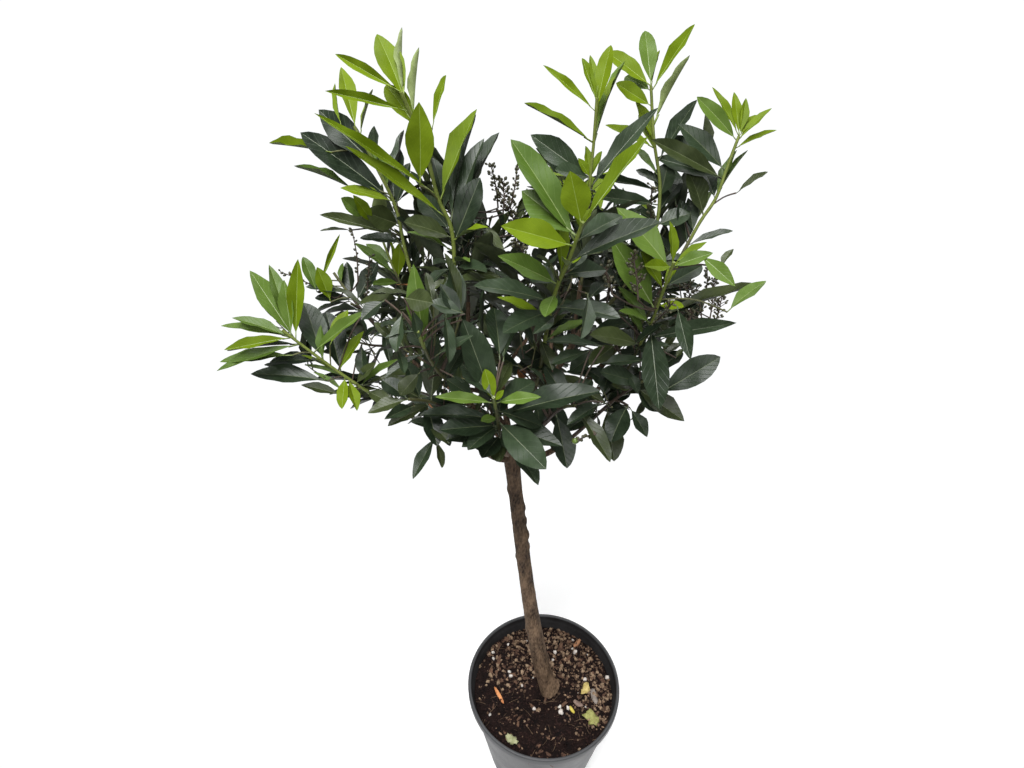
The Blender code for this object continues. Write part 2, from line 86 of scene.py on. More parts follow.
def picture(point):
    """Where a point shows in the picture, in pixels, and how far it lies ahead of the camera."""
    apart = point - CAMERA_PLACE
    depth = apart.dot(CAMERA_AHEAD)
    return PICTURE_MIDDLE + Vector((apart.dot(CAMERA_RIGHT), -apart.dot(CAMERA_UP))) * (FOCAL_PIXELS / depth), depth


def spot_behind(pixel, depth):
    """The point that shows at a pixel of the picture and lies this far ahead of the camera."""
    x, y = Vector(pixel) - PICTURE_MIDDLE
    return CAMERA_PLACE + (CAMERA_AHEAD * FOCAL_PIXELS + CAMERA_RIGHT * x - CAMERA_UP * y) * (depth / FOCAL_PIXELS)


def place_camera():
    view = bpy.data.cameras.new("view")
    view.sensor_width = SENSOR_WIDTH
    view.lens = FOCAL_PIXELS / PICTURE_WIDTH * SENSOR_WIDTH
    view.clip_start = 0.01
    camera = bpy.data.objects.new("camera", view)
    turn = Matrix((CAMERA_RIGHT, CAMERA_UP, -CAMERA_AHEAD)).transposed().to_4x4()
    camera.matrix_world = Matrix.Translation(CAMERA_PLACE) @ turn
    scene.collection.objects.link(camera)
    scene.camera = camera


def soft_box(name, place, target, width, watts):
    lamp = bpy.data.lights.new(name, "AREA")
    lamp.size = width
    lamp.energy = watts
    box = bpy.data.objects.new(name, lamp)
    box.location = place
    box.rotation_euler = (Vector(target) - Vector(place)).to_track_quat("-Z", "Y").to_euler()
    scene.collection.objects.link(box)


def add_node(tree, kind, inputs=(), **settings):
    """A node with its settings. Each input has a plain value, or the socket that feeds it."""
    node = tree.nodes.new(kind)
    for label, value in settings.items():
        setattr(node, label, value)
    for label, value in dict(inputs).items():
        if isinstance(value, bpy.types.NodeSocket):
            tree.links.new(value, node.inputs[label])
        else:
            node.inputs[label].default_value = value
    return node


def new_material(name, colour, roughness, specular=0.5):
    """A material and its Principled shader, whose plain values are set here."""
    material = bpy.data.materials.new(name)
    material.use_nodes = True
    shader = material.node_tree.nodes["Principled BSDF"]
    for label, value in (("Base Color", (*colour, 1)), ("Roughness", roughness), ("Specular IOR Level", specular)):
        shader.inputs[label].default_value = value
    return material, shader


def mesh_piece(name, verts, faces, collection=None):
    mesh = bpy.data.meshes.new(name)
    mesh.from_pydata([tuple(vert) for vert in verts], [], faces)
    mesh.shade_smooth()
    piece = bpy.data.objects.new(name, mesh)
    (collection or scene.collection).objects.link(piece)
    return piece


def ring(radius, count, shift=0):
    """The x and y of points that are spaced evenly around the axis."""
    angles = [(step + shift) * math.tau / count for step in range(count)]
    return [(radius * math.cos(angle), radius * math.sin(angle)) for angle in angles]


def white_sky():
    """A white backdrop for the camera, which lights the plant less than it shows."""
    sky = bpy.data.worlds.new("studio")
    sky.use_nodes = True
    tree = sky.node_tree
    seen = add_node(tree, "ShaderNodeLightPath")
    strength = add_node(tree, "ShaderNodeMapRange", {
        "Value": seen.outputs["Is Camera Ray"], "To Min": SKY_STRENGTH, "To Max": BACKDROP_WHITE})
    glow = tree.nodes["Background"]
    glow.inputs["Color"].default_value = SKY_TINT
    tree.links.new(strength.outputs["Result"], glow.inputs["Strength"])
    scene.world = sky
    scene.view_settings.view_transform = "Standard"


place_camera()
white_sky()
soft_box("overhead_soft_box", (-0.5, -0.8, 3.0), (-0.05, 0, 0.9), 1.4, 98)
soft_box("front_soft_box", (0.5, -2.4, 2.1), (-0.05, 0, 0.9), 1.2, 30)
soft_box("rear_soft_box", (0.9, 1.8, 2.6), (-0.05, 0, 1.0), 2.0, 42)
floor = mesh_piece("floor", [(x, y, 0) for x, y in ring(FLOOR_RADIUS, FLOOR_CORNERS)], [tuple(range(FLOOR_CORNERS))])
pale_floor, floor_shader = new_material("pale_floor", (0.92, 0.92, 0.92), 0.9, 0.2)
floor_shader.inputs["Emission Color"].default_value = (1, 1, 1, 1)
floor_shader.inputs["Emission Strength"].default_value = FLOOR_GLOW
floor.data.materials.append(pale_floor)


# The pot: a round nursery pot of matte black-grey plastic, moulded in one piece, with a rolled rim that
# stands out from the wall and six drain holes in its floor. It is one turned wall with the holes cut.
POT_RIM_RADIUS = 0.140
POT_HEIGHT = 0.225
POT_FOOT_RADIUS = 0.102
POT_WALL = 0.003
RIM_DEPTH = 0.014
RIM_OVERHANG = 0.006
RIM_ROLL = 0.0030
FOOT_ROUND = 0.0024
DRAIN_HOLES = 6
DRAIN_RADIUS = 0.007
DRAIN_CIRCLE = 0.070
DRAIN_SEGMENTS = 28
# Below this height the inner wall takes the painted shade
INNER_SHADE_BELOW = 0.222
CREASE_ANGLE = math.radians(50)
POT_STEPS = 144
CLEARANCE = 0.0003


def arc(radius_at, height_at, size, start, end, steps=5):
    """Points of a rounded corner of a turned profile, between two angles in degrees."""
    angles = [math.radians(start + (end - start) * step / steps) for step in range(steps + 1)]
    return [(radius_at + size * math.cos(angle), height_at + size * math.sin(angle)) for angle in angles]


def evaluated_mesh(piece):
    bpy.context.view_layer.update()
    return bpy.data.meshes.new_from_object(piece.evaluated_get(bpy.context.evaluated_depsgraph_get()))


def plain_mesh(piece):
    """Leaves the result of a piece's modifiers as its plain mesh, with no modifier on it."""
    mesh = evaluated_mesh(piece)
    piece.modifiers.clear()
    piece.data = mesh
    return piece


def primitive(name, make, collection, reshape=None, **sizes):
    """A piece that starts as a primitive shape, with each of its corners moved by reshape."""
    bm = bmesh.new()
    make(bm, **sizes)
    for vert in bm.verts if reshape else ():
        vert.co = reshape(vert.co)
    piece = mesh_piece(name, [], [], collection)
    bm.to_mesh(piece.data)
    bm.free()
    return piece


def shape_box(name):
    """A collection that holds shapes for a cut, a scatter or a spray, and is taken away after use."""
    box = bpy.data.collections.new(name)
    scene.collection.children.link(box)
    return box


def empty_box(box):
    for shape in list(box.objects):
        bpy.data.objects.remove(shape)
    bpy.data.collections.remove(box)


def hand_in(piece, slot, *nodes):
    """A finished piece rides on the one body and stands for these nodes, which it hides. The slot is not used."""
    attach(piece, "root")
    if nodes:
        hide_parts(*nodes)


def wall_radius(height):
    """Radius of the pot's inner wall at a height above its floor."""
    share = (height - POT_WALL) / (POT_HEIGHT - RIM_DEPTH - POT_WALL)
    top = POT_RIM_RADIUS - RIM_OVERHANG - POT_WALL
    return POT_FOOT_RADIUS - POT_WALL + share * (top - POT_FOOT_RADIUS + POT_WALL)


def turned_pot():
    lip = POT_HEIGHT - RIM_DEPTH
    body = POT_RIM_RADIUS - RIM_OVERHANG
    inner = POT_RIM_RADIUS - 2 * RIM_ROLL
    profile = [
        (0, POT_WALL), (POT_FOOT_RADIUS - POT_WALL - 0.002, POT_WALL),
        (POT_FOOT_RADIUS - POT_WALL, POT_WALL + 0.001), (body - POT_WALL, lip - 0.001),
        (body - POT_WALL + 0.0006, lip), (inner, lip + 0.0026),
        *arc(POT_RIM_RADIUS - RIM_ROLL, POT_HEIGHT - RIM_ROLL, RIM_ROLL, 180, 0, 10),
        *arc(POT_RIM_RADIUS - 0.0016, lip + 0.0016, 0.0016, 0, -90),
        *arc(body + 0.0014, lip - 0.0014, 0.0014, 90, 180),
        *arc(POT_FOOT_RADIUS + 0.0003 - FOOT_ROUND, FOOT_ROUND, FOOT_ROUND, 0, -90),
        (0, 0),
    ]
    edges = [(index, index + 1) for index in range(len(profile) - 1)]
    mesh = bpy.data.meshes.new("pot_shell")
    mesh.from_pydata([(radius, 0, height) for radius, height in profile], edges, [])
    shell = bpy.data.objects.new("pot_shell", mesh)
    scene.collection.objects.link(shell)
    screw = shell.modifiers.new("turn", "SCREW")
    screw.steps = screw.render_steps = POT_STEPS
    screw.use_merge_vertices = True
    screw.merge_threshold = 0.00005
    cutters = shape_box("drain_cutters")
    for number, (x, y) in enumerate(ring(DRAIN_CIRCLE, DRAIN_HOLES, 0.5)):
        cutter = primitive(f"drain_{number}", bmesh.ops.create_cone, cutters, cap_ends=True,
                           segments=DRAIN_SEGMENTS, radius1=DRAIN_RADIUS, radius2=DRAIN_RADIUS, depth=4 * POT_WALL)
        cutter.location = (x, y, 0)
    cut = shell.modifiers.new("drain_holes", "BOOLEAN")
    cut.operation = "DIFFERENCE"
    cut.operand_type = "COLLECTION"
    cut.collection = cutters
    plain_mesh(shell)
    empty_box(cutters)
    shell.data.shade_smooth()
    shell.data.set_sharp_from_angle(angle=CREASE_ANGLE)
    return shell


def new_tree(name, kind, inputs, outputs):
    """A node tree with its named inputs and outputs, the sockets that feed it and its output node."""
    tree = bpy.data.node_groups.new(name, kind)
    for way, sockets in (("INPUT", inputs), ("OUTPUT", outputs)):
        for label, socket_kind in sockets:
            tree.interface.new_socket(label, in_out=way, socket_type="NodeSocket" + socket_kind)
    return tree, tree.nodes.new("NodeGroupInput").outputs, tree.nodes.new("NodeGroupOutput")


PATTERN_OUTPUTS = (("Color", "Color"), ("Mask", "Float"), ("Height", "Float"))
MOTTLE_BLEND = 0.4
MOTTLE_RANGE = (0.36, 0.64)


def mottle_group():
    """Uneven colour, roughness and height from two sizes of noise, for any weathered surface."""
    tree, given, output = new_tree("mottle", "ShaderNodeTree", (
        ("Dark", "Color"), ("Light", "Color"), ("Broad Scale", "Float"), ("Fine Scale", "Float"),
        ("Stretch", "Vector")), PATTERN_OUTPUTS)
    place = add_node(tree, "ShaderNodeTexCoord")
    stretched = add_node(tree, "ShaderNodeVectorMath", {0: place.outputs["Object"], 1: given["Stretch"]},
                         operation="MULTIPLY")
    broad, fine = (add_node(tree, "ShaderNodeTexNoise", {
        "Vector": stretched.outputs[0], "Scale": given[scale], "Detail": detail})
        for scale, detail in (("Broad Scale", 5), ("Fine Scale", 3)))
    blend = add_node(tree, "ShaderNodeMix", {
        "Factor": MOTTLE_BLEND, "A": broad.outputs["Fac"], "B": fine.outputs["Fac"]}, data_type="FLOAT")
    mask = add_node(tree, "ShaderNodeMapRange", {
        "Value": blend.outputs["Result"], "From Min": MOTTLE_RANGE[0], "From Max": MOTTLE_RANGE[1]})
    colour = add_node(tree, "ShaderNodeMix", {
        "Factor": mask.outputs["Result"], "A": given["Dark"], "B": given["Light"]}, data_type="RGBA")
    for source, label in ((colour.outputs["Result"], "Color"), (mask.outputs["Result"], "Mask"),
                          (fine.outputs["Fac"], "Height")):
        tree.links.new(source, output.inputs[label])
    return tree


mottle = mottle_group()


def patterned(name, group, values, roughness, relief, strength, specular):
    """A material whose colour comes from a pattern group. Its roughness varies with the group's mask,
    and its bump with the group's height."""
    material, shader = new_material(name, values["Light"][:3], roughness[1], specular)
    tree = material.node_tree
    pattern = add_node(tree, "ShaderNodeGroup", values, node_tree=group)
    rough = add_node(tree, "ShaderNodeMapRange", {
        "Value": pattern.outputs["Mask"], "To Min": roughness[0], "To Max": roughness[1]})
    bump = add_node(tree, "ShaderNodeBump", {
        "Height": pattern.outputs["Height"], "Distance": relief, "Strength": strength})
    for source, label in ((pattern.outputs["Color"], "Base Color"), (rough.outputs["Result"], "Roughness"),
                          (bump.outputs["Normal"], "Normal")):
        tree.links.new(source, shader.inputs[label])
    return material


MOTTLE_BUMP = 0.6


def mottled(name, dark, light, broad, fine, roughness, relief, stretch=(1, 1, 1), specular=0.5):
    """A weathered material: two colours, two sizes of noise, a range of roughness and a relief."""
    values = {"Dark": (*dark, 1), "Light": (*light, 1), "Broad Scale": broad, "Fine Scale": fine, "Stretch": stretch}
    return patterned(name, mottle, values, roughness, relief, MOTTLE_BUMP, specular)


pot_shell = turned_pot()
pot_shell.data.materials.append(
    mottled("moulded_pot_plastic", (0.034, 0.035, 0.038), (0.060, 0.061, 0.064), 26, 900, (0.42, 0.60), 0.0002))
# Painted shade: a darker, duller finish for the inner wall, in place of the shadow inside the pot
pot_shell.data.materials.append(
    mottled("painted_shade_pot_wall", (0.010, 0.009, 0.009), (0.026, 0.025, 0.026), 26, 500, (0.6, 0.8), 0.0002,
            specular=0.2))
for face in pot_shell.data.polygons:
    # The inner wall, which faces the axis, is darkened with painted shade, for the shadow that falls inside the pot
    faces_in = face.normal.xy.dot(face.center.xy) < -0.5 * face.center.xy.length
    face.material_index = faces_in and face.center.z < INNER_SHADE_BELOW
hand_in(pot_shell, "pot_plastic", "pot")


# The compost: moist peat and composted bark that fills the pot to a little below its rim, crumbly on
# top. It is a plug with a lumpy face, and the loose bits on it lie where a seeded scatter drops them.
COMPOST_LEVEL = POT_HEIGHT - 0.028
COMPOST_LUMP = 0.0050
COMPOST_RINGS = 56
COMPOST_SECTORS = 150


def compost_height(x, y):
    """The height of the crumbly face: broad hollows, lumps, and a shallow mound against the stem."""
    place = Vector((x, y, 0.3))
    broad = noise.noise(place * 17) * 0.9
    lumps = noise.noise(place * 70) * 0.55 + abs(noise.noise(place * 150)) * 0.5 - 0.25
    mound = 0.45 * math.exp(-(place.xy - Vector((0.012, 0))).length_squared / 0.0012)
    return COMPOST_LEVEL + COMPOST_LUMP * (broad + lumps + mound - 0.25)


def dryness(x, y):
    """How dry the face is: 0 in the dark wet front, 1 along the back and the right."""
    uneven = 0.8 * noise.noise(Vector((x, y, 0)) * 30)
    return min(max(0.24 + 10 * y + 3 * x + 9 * max(x - 0.02, 0) + uneven, 0), 1)


def compost_plug():
    """The closed plug, and its upper face alone as a bed for the loose bits."""
    edge = wall_radius(COMPOST_LEVEL) - CLEARANCE
    verts = [(0, 0, compost_height(0, 0))]
    for step in range(1, COMPOST_RINGS + 1):
        verts += [(x, y, compost_height(x, y)) for x, y in ring(edge * step / COMPOST_RINGS, COMPOST_SECTORS)]
    for height in (COMPOST_LEVEL * 0.5, POT_WALL + CLEARANCE):
        verts += [(x, y, height) for x, y in ring(wall_radius(height) - CLEARANCE, COMPOST_SECTORS)]
    faces = [(0, 1 + sector, 1 + (sector + 1) % COMPOST_SECTORS) for sector in range(COMPOST_SECTORS)]
    for step in range(COMPOST_RINGS + 1):
        inner = 1 + step * COMPOST_SECTORS
        outer = inner + COMPOST_SECTORS
        for sector in range(COMPOST_SECTORS):
            after = (sector + 1) % COMPOST_SECTORS
            faces.append((inner + sector, outer + sector, outer + after, inner + after))
    last = 1 + (COMPOST_RINGS + 1) * COMPOST_SECTORS
    faces.append(tuple(range(last + COMPOST_SECTORS - 1, last - 1, -1)))
    on_top = COMPOST_SECTORS * COMPOST_RINGS
    bed = mesh_piece("bed", verts[:on_top + 1], faces[:on_top])
    dry = bed.data.attributes.new("dry", "FLOAT", "POINT")
    for item, (x, y, _) in zip(dry.data, verts):
        item.value = dryness(x, y)
    return mesh_piece("compost_plug", verts, faces), bed


def add_tree(piece, tree, values):
    """Sets a Geometry Nodes tree on a piece, with its inputs found by their labels."""
    modifier = piece.modifiers.new(tree.name, "NODES")
    modifier.node_group = tree
    for socket in tree.interface.items_tree:
        if socket.in_out == "INPUT" and socket.name in values:
            modifier[socket.identifier] = values[socket.name]


def realized(tree, given, output, shape):
    """Ends a tree: its shape is made real and dressed in the given finish."""
    real = add_node(tree, "GeometryNodeRealizeInstances", {0: shape})
    dress = add_node(tree, "GeometryNodeSetMaterial", {"Geometry": real.outputs[0], "Material": given["Finish"]})
    tree.links.new(dress.outputs[0], output.inputs["Geometry"])
    return tree


def maths(tree, operation, *values):
    """The result of one sum on plain values and sockets."""
    return add_node(tree, "ShaderNodeMath", dict(enumerate(values)), operation=operation).outputs[0]


def picked_shapes(tree, given):
    """The shapes of the given collection, one of which is set on each point."""
    return add_node(tree, "GeometryNodeCollectionInfo", {
        "Collection": given["Shapes"], "Separate Children": True, "Reset Children": True}).outputs[0]


GEOMETRY = ("Geometry", "Geometry")


def scatter_tree():
    """Drops shapes on a bed at random, each turned, tilted, sized and sunk at random. The more a kind
    keeps to the dry ground, the fewer of it lie where the bed is wet."""
    tree, given, output = new_tree("scatter", "GeometryNodeTree", (
        GEOMETRY, ("Shapes", "Collection"), ("Density", "Float"), ("Keeps Dry", "Float"), ("Smallest", "Float"),
        ("Largest", "Float"), ("Tilt", "Float"), ("Sink", "Float"), ("Seed", "Int"), ("Finish", "Material")),
        (GEOMETRY,))
    dry = add_node(tree, "GeometryNodeInputNamedAttribute", {"Name": "dry"})
    kept = add_node(tree, "ShaderNodeMix", {"Factor": given["Keeps Dry"], "A": 1, "B": dry.outputs["Attribute"]})
    crowd = maths(tree, "MULTIPLY", given["Density"], kept.outputs["Result"])
    drop = add_node(tree, "GeometryNodeDistributePointsOnFaces", {
        "Mesh": given["Geometry"], "Density": crowd, "Seed": given["Seed"]})
    sink = add_node(tree, "ShaderNodeCombineXYZ", {"Z": given["Sink"]})
    lower = add_node(tree, "GeometryNodeSetPosition", {
        "Geometry": drop.outputs["Points"], "Offset": sink.outputs[0]})
    back = maths(tree, "MULTIPLY", given["Tilt"], -1)
    low = add_node(tree, "ShaderNodeCombineXYZ", {"X": back, "Y": back})
    high = add_node(tree, "ShaderNodeCombineXYZ", {"X": given["Tilt"], "Y": given["Tilt"], "Z": math.tau})
    # A Random Value node holds its vector range in its first two inputs and its plain range in the next two
    turn = add_node(tree, "FunctionNodeRandomValue", {0: low.outputs[0], 1: high.outputs[0]},
                    data_type="FLOAT_VECTOR")
    size = add_node(tree, "FunctionNodeRandomValue", {2: given["Smallest"], 3: given["Largest"]})
    place = add_node(tree, "GeometryNodeInstanceOnPoints", {
        "Points": lower.outputs[0], "Instance": picked_shapes(tree, given), "Pick Instance": True,
        "Rotation": turn.outputs[0], "Scale": size.outputs[1]})
    return realized(tree, given, output, place.outputs[0])


def crumbs(box, count, subdivisions, proportions, jag):
    """Unit lumps with uneven sides, in the given proportions."""
    for number in range(count):
        def jagged(spot):
            spot = spot * (1 + jag * noise.noise(spot * 2.6 + Vector((number * 7.3, 0, 0))))
            return Vector((spot.x * proportions[0], spot.y * proportions[1], spot.z * proportions[2]))

        primitive(f"crumb_{number}", bmesh.ops.create_icosphere, box, jagged, subdivisions=subdivisions, radius=0.5)


def tube_faces(rings, sides):
    """The walls of a tube between its rings of corners, and the faces that close its ends."""
    faces = []
    for base in range(0, (rings - 1) * sides, sides):
        for corner in range(sides):
            after = (corner + 1) % sides
            faces.append((base + corner, base + after, base + sides + after, base + sides + corner))
    last = (rings - 1) * sides
    return [*faces, tuple(range(sides - 1, -1, -1)), tuple(range(last, last + sides))]


STRAND_STEPS = 7
STRAND_GIRTH = 0.022


def fibres(box, count):
    """Unit fibres: thin three-sided strands, each with its own bend."""
    for number in range(count):
        rng = random.Random(400 + number)
        bend, rise = rng.uniform(-0.6, 0.6), rng.uniform(0.02, 0.10)
        verts = []
        for step in range(STRAND_STEPS):
            share = step / (STRAND_STEPS - 1)
            middle = Vector((share - 0.5, bend * share * (1 - share), rise * math.sin(math.pi * share)))
            verts += [middle + Vector((0, y, z)) for y, z in ring(STRAND_GIRTH * (1 - 0.6 * share), 3)]
        mesh_piece(f"fibre_{number}", verts, tube_faces(STRAND_STEPS, 3), box)


scatter = scatter_tree()
compost_plug_piece, bed = compost_plug()
compost_dark = mottled("moist_peat", (0.003, 0.0015, 0.0015), (0.015, 0.008, 0.0065), 60, 500, (0.75, 0.95), 0.0006,
                       specular=0.12)
compost_plug_piece.data.materials.append(compost_dark)
hand_in(compost_plug_piece, "compost_mix", "compost")

# name, shape maker, its values, dark and light colour, pieces for each square metre, how much they keep to
# the dry ground, smallest, largest, tilt and sink
LOOSE_BITS = (
    ("peat_crumbs", crumbs, (6, 1, (1, 0.85, 0.75), 0.9), (0.0015, 0.0007, 0.0007), (0.036, 0.018, 0.015),
     62000, 0.0, 0.0016, 0.0050, math.pi, 0.0004),
    ("brown_crumbs", crumbs, (6, 1, (1, 0.8, 0.6), 0.9), (0.044, 0.025, 0.016), (0.205, 0.132, 0.088),
     38000, 0.90, 0.0020, 0.0066, math.pi, 0.0006),
    ("bark_chips", crumbs, (6, 2, (1, 0.5, 0.22), 1.1), (0.046, 0.025, 0.018), (0.170, 0.096, 0.062),
     4200, 0.75, 0.0050, 0.0140, 0.5, 0.0010),
    ("clay_lumps", crumbs, (6, 2, (1, 0.85, 0.7), 0.7), (0.150, 0.096, 0.060), (0.400, 0.285, 0.190),
     9000, 0.94, 0.0034, 0.0090, math.pi, 0.0006),
    ("pale_chips", crumbs, (5, 2, (1, 0.45, 0.25), 0.9), (0.22, 0.135, 0.085), (0.42, 0.28, 0.180),
     1500, 0.85, 0.0040, 0.0100, 0.9, 0.0006),
    ("perlite", crumbs, (5, 2, (1, 0.9, 0.85), 0.7), (0.46, 0.42, 0.38), (0.72, 0.68, 0.62),
     620, 0.6, 0.0030, 0.0080, math.pi, 0.0006),
    ("root_fibres", fibres, (8,), (0.08, 0.050, 0.032), (0.24, 0.16, 0.100), 3000, 0.5, 0.010, 0.028, 0.35, 0.0008),
)
LITTER_LABELS = ("Density", "Keeps Dry", "Smallest", "Largest", "Tilt", "Sink")
for seed, (name, make_shapes, values, dark, light, density, *numbers) in enumerate(LOOSE_BITS, 1):
    shapes = shape_box(name + "_shapes")
    make_shapes(shapes, *values)
    bits = bpy.data.objects.new(name, bed.data.copy())
    scene.collection.objects.link(bits)
    add_tree(bits, scatter, {
        "Shapes": shapes, "Seed": seed, **dict(zip(LITTER_LABELS, (float(density), *numbers))),
        "Finish": mottled(name + "_finish", dark, light, 110, 600, (0.7, 0.92), 0.0004, specular=0.15)})
    plain_mesh(bits)
    empty_box(shapes)
    hand_in(bits, "compost_mix")
bpy.data.objects.remove(bed)


# The litter: a split wood chip, torn bits of shed leaves and a few large grains, which lie loose on the
# compost where they fell. Each is a thin ragged scrap or a rounded grain.
SCRAP_CORNERS = 18
SCRAP_THICKNESS = 0.0008
LITTER_LIFT = 0.0026
# name, middle pixel, length and width in millimetres, heading in degrees, raggedness, bow, dark and light colour
SCRAPS = (
    ("split_chip", (499, 695), 36, 6.5, -60, 0.10, 0.000, (0.42, 0.14, 0.045), (0.72, 0.32, 0.13)),
    ("torn_leaf", (592, 718), 30, 22, -50, 0.55, 0.004, (0.20, 0.19, 0.055), (0.38, 0.38, 0.13)),
    ("pale_torn_leaf", (585, 690), 26, 14, 60, 0.60, 0.004, (0.36, 0.27, 0.08), (0.62, 0.50, 0.20)),
    ("yellow_bit", (572, 710), 15, 6, -60, 0.20, 0.001, (0.48, 0.38, 0.05), (0.66, 0.56, 0.12)),
    ("grey_leaf", (594, 697), 30, 11, -82, 0.12, 0.003, (0.17, 0.14, 0.12), (0.30, 0.26, 0.23)),
    ("brown_bit", (578, 704), 20, 9, -30, 0.45, 0.002, (0.14, 0.09, 0.07), (0.28, 0.20, 0.16)),
    ("green_bit", (512, 740), 24, 15, -35, 0.50, 0.004, (0.20, 0.22, 0.09), (0.46, 0.46, 0.28)),
    ("rusty_bit", (577, 643), 22, 9, 50, 0.40, 0.002, (0.30, 0.13, 0.06), (0.50, 0.27, 0.15)),
)
# The pixel of each large grain, and its width in millimetres
GRAINS = (((561, 713), 10), ((568, 708), 8), ((534, 709), 7), ((555, 653), 8), ((553, 660), 6), ((511, 676), 8),
          ((575, 652), 10), ((607, 677), 9), ((508, 645), 6), ((573, 640), 6), ((585, 679), 8), ((522, 686), 5))


def on_compost(pixel):
    """The spot on the compost that shows at a pixel."""
    way = spot_behind(pixel, 1) - CAMERA_PLACE
    spot = CAMERA_PLACE + way * ((COMPOST_LEVEL - CAMERA_PLACE.z) / way.z)
    return Vector((spot.x, spot.y, compost_height(spot.x, spot.y) + LITTER_LIFT))


def scrap(name, pixel, length, width, degrees, ragged, bow):
    middle = on_compost(pixel)
    rim = []
    for corner in range(SCRAP_CORNERS):
        angle = corner * math.tau / SCRAP_CORNERS
        reach = 1 + ragged * noise.noise(Vector((2.2 * math.cos(angle), 2.2 * math.sin(angle), length)))
        rim.append(Vector((length * math.cos(angle), width * math.sin(angle), 0)) * reach / 2000)
    turn = Matrix.Rotation(math.radians(degrees), 3, "Z")
    verts = []
    for lift in (0, SCRAP_THICKNESS):
        for share in (0, 0.5, 1):
            verts += [middle + turn @ (spot * share) + UP * (lift - bow * share * share * math.cos(spot.x * 300))
                      for spot in (rim if share else rim[:1])]
    count = SCRAP_CORNERS
    low, high = 0, 1 + 2 * count
    faces = []
    for corner in range(count):
        after = (corner + 1) % count
        faces += [(low, low + 1 + after, low + 1 + corner), (high, high + 1 + corner, high + 1 + after)]
        for base, flip in ((low + 1, 1), (high + 1, 0)):
            quad = (base + corner, base + count + corner, base + count + after, base + after)
            faces.append(quad[::-1] if flip else quad)
        bottom, top = low + 1 + count, high + 1 + count
        faces.append((bottom + corner, bottom + after, top + after, top + corner))
    return mesh_piece(name, verts, faces)


for name, pixel, length, width, degrees, ragged, bow, dark, light in SCRAPS:
    bit = scrap(name, pixel, length, width, degrees, ragged, bow)
    bit.data.materials.append(mottled(name + "_finish", dark, light, 150, 600, (0.5, 0.8), 0.0003, specular=0.3))
    hand_in(bit, "compost_mix")
grain_box = shape_box("grain_shapes")
crumbs(grain_box, 1, 2, (1, 0.85, 0.7), 0.6)
grain = grain_box.objects[0]
grain_verts, grain_faces = [], []
for number, (pixel, width) in enumerate(GRAINS):
    first = len(grain_verts)
    turn = Matrix.Rotation(number * 1.3, 3, "Z") @ Matrix.Rotation(number * 0.9, 3, "X")
    grain_verts += [on_compost(pixel) + turn @ vert.co * (width / 1000) for vert in grain.data.vertices]
    grain_faces += [[first + index for index in face.vertices] for face in grain.data.polygons]
empty_box(grain_box)
large_grains = mesh_piece("large_grains", grain_verts, grain_faces)
large_grains.data.materials.append(
    mottled("large_grain", (0.46, 0.40, 0.36), (0.80, 0.74, 0.68), 200, 700, (0.6, 0.8), 0.0003, specular=0.3))
hand_in(large_grains, "compost_mix")


# The stem: grey-brown bark over a clear leaning stem, with knobs and round scars where its side shoots
# were cut off, and a low flare where it enters the compost. It is a swept skin with that relief.
TRUNK_FOOT = Vector((0.012, 0.0, COMPOST_LEVEL + CLEARANCE))
TRUNK_TOP = Vector((-0.067, 0.0, 0.802))
TRUNK_BOW = -0.010
TRUNK_RADII = ((0.0, 0.0200), (0.018, 0.0172), (0.05, 0.0155), (0.25, 0.0136), (0.50, 0.0112),
               (0.85, 0.0100), (0.93, 0.0108), (1.0, 0.0102))
TRUNK_STATIONS = (0.0, 0.015, 0.04, 0.10, 0.20, 0.32, 0.44, 0.56, 0.68, 0.78, 0.86, 0.93, 1.0)
# The height of each knob, the side it is on in degrees, its width and how far it stands out
KNOBS = (
    (0.668, -20, 0.0060, 0.0022), (0.640, -5, 0.0050, 0.0020), (0.613, -25, 0.0075, 0.0032),
    (0.585, 10, 0.0050, 0.0016), (0.700, 160, 0.0060, 0.0020), (0.560, 150, 0.0065, 0.0022),
    (0.520, -75, 0.0050, 0.0014), (0.470, 60, 0.0060, 0.0018), (0.430, -100, 0.0055, 0.0015),
    (0.385, 205, 0.0070, 0.0020), (0.330, -60, 0.0060, 0.0014), (0.290, 30, 0.0065, 0.0026),
    (0.262, 120, 0.0060, 0.0018), (0.740, -60, 0.0070, 0.0018), (0.725, 70, 0.0060, 0.0022),
)
KNOB_REACH = 3
KNOB_CROWN = 1.35
KNOB_DIMPLE = 0.75
FLARE_HEIGHT = 0.010
FLARE_SWELL = 0.0016
MERGE_DISTANCE = 0.000001


def trunk_point(share):
    """The middle of the stem at a share of its height, with its lean and its bow."""
    bow = Vector((TRUNK_BOW * math.sin(math.pi * share ** 0.65), 0, 0))
    return TRUNK_FOOT + (TRUNK_TOP - TRUNK_FOOT) * share + bow


def trunk_radius(share):
    for (low, wide), (high, thin) in zip(TRUNK_RADII, TRUNK_RADII[1:]):
        if share <= high:
            return wide + (thin - wide) * (share - low) / (high - low)
    return TRUNK_RADII[-1][1]


RIDGE_STRETCH = (1, 1, 0.16)
RIDGE_SCALE = 330
BUMP_SCALE = 120


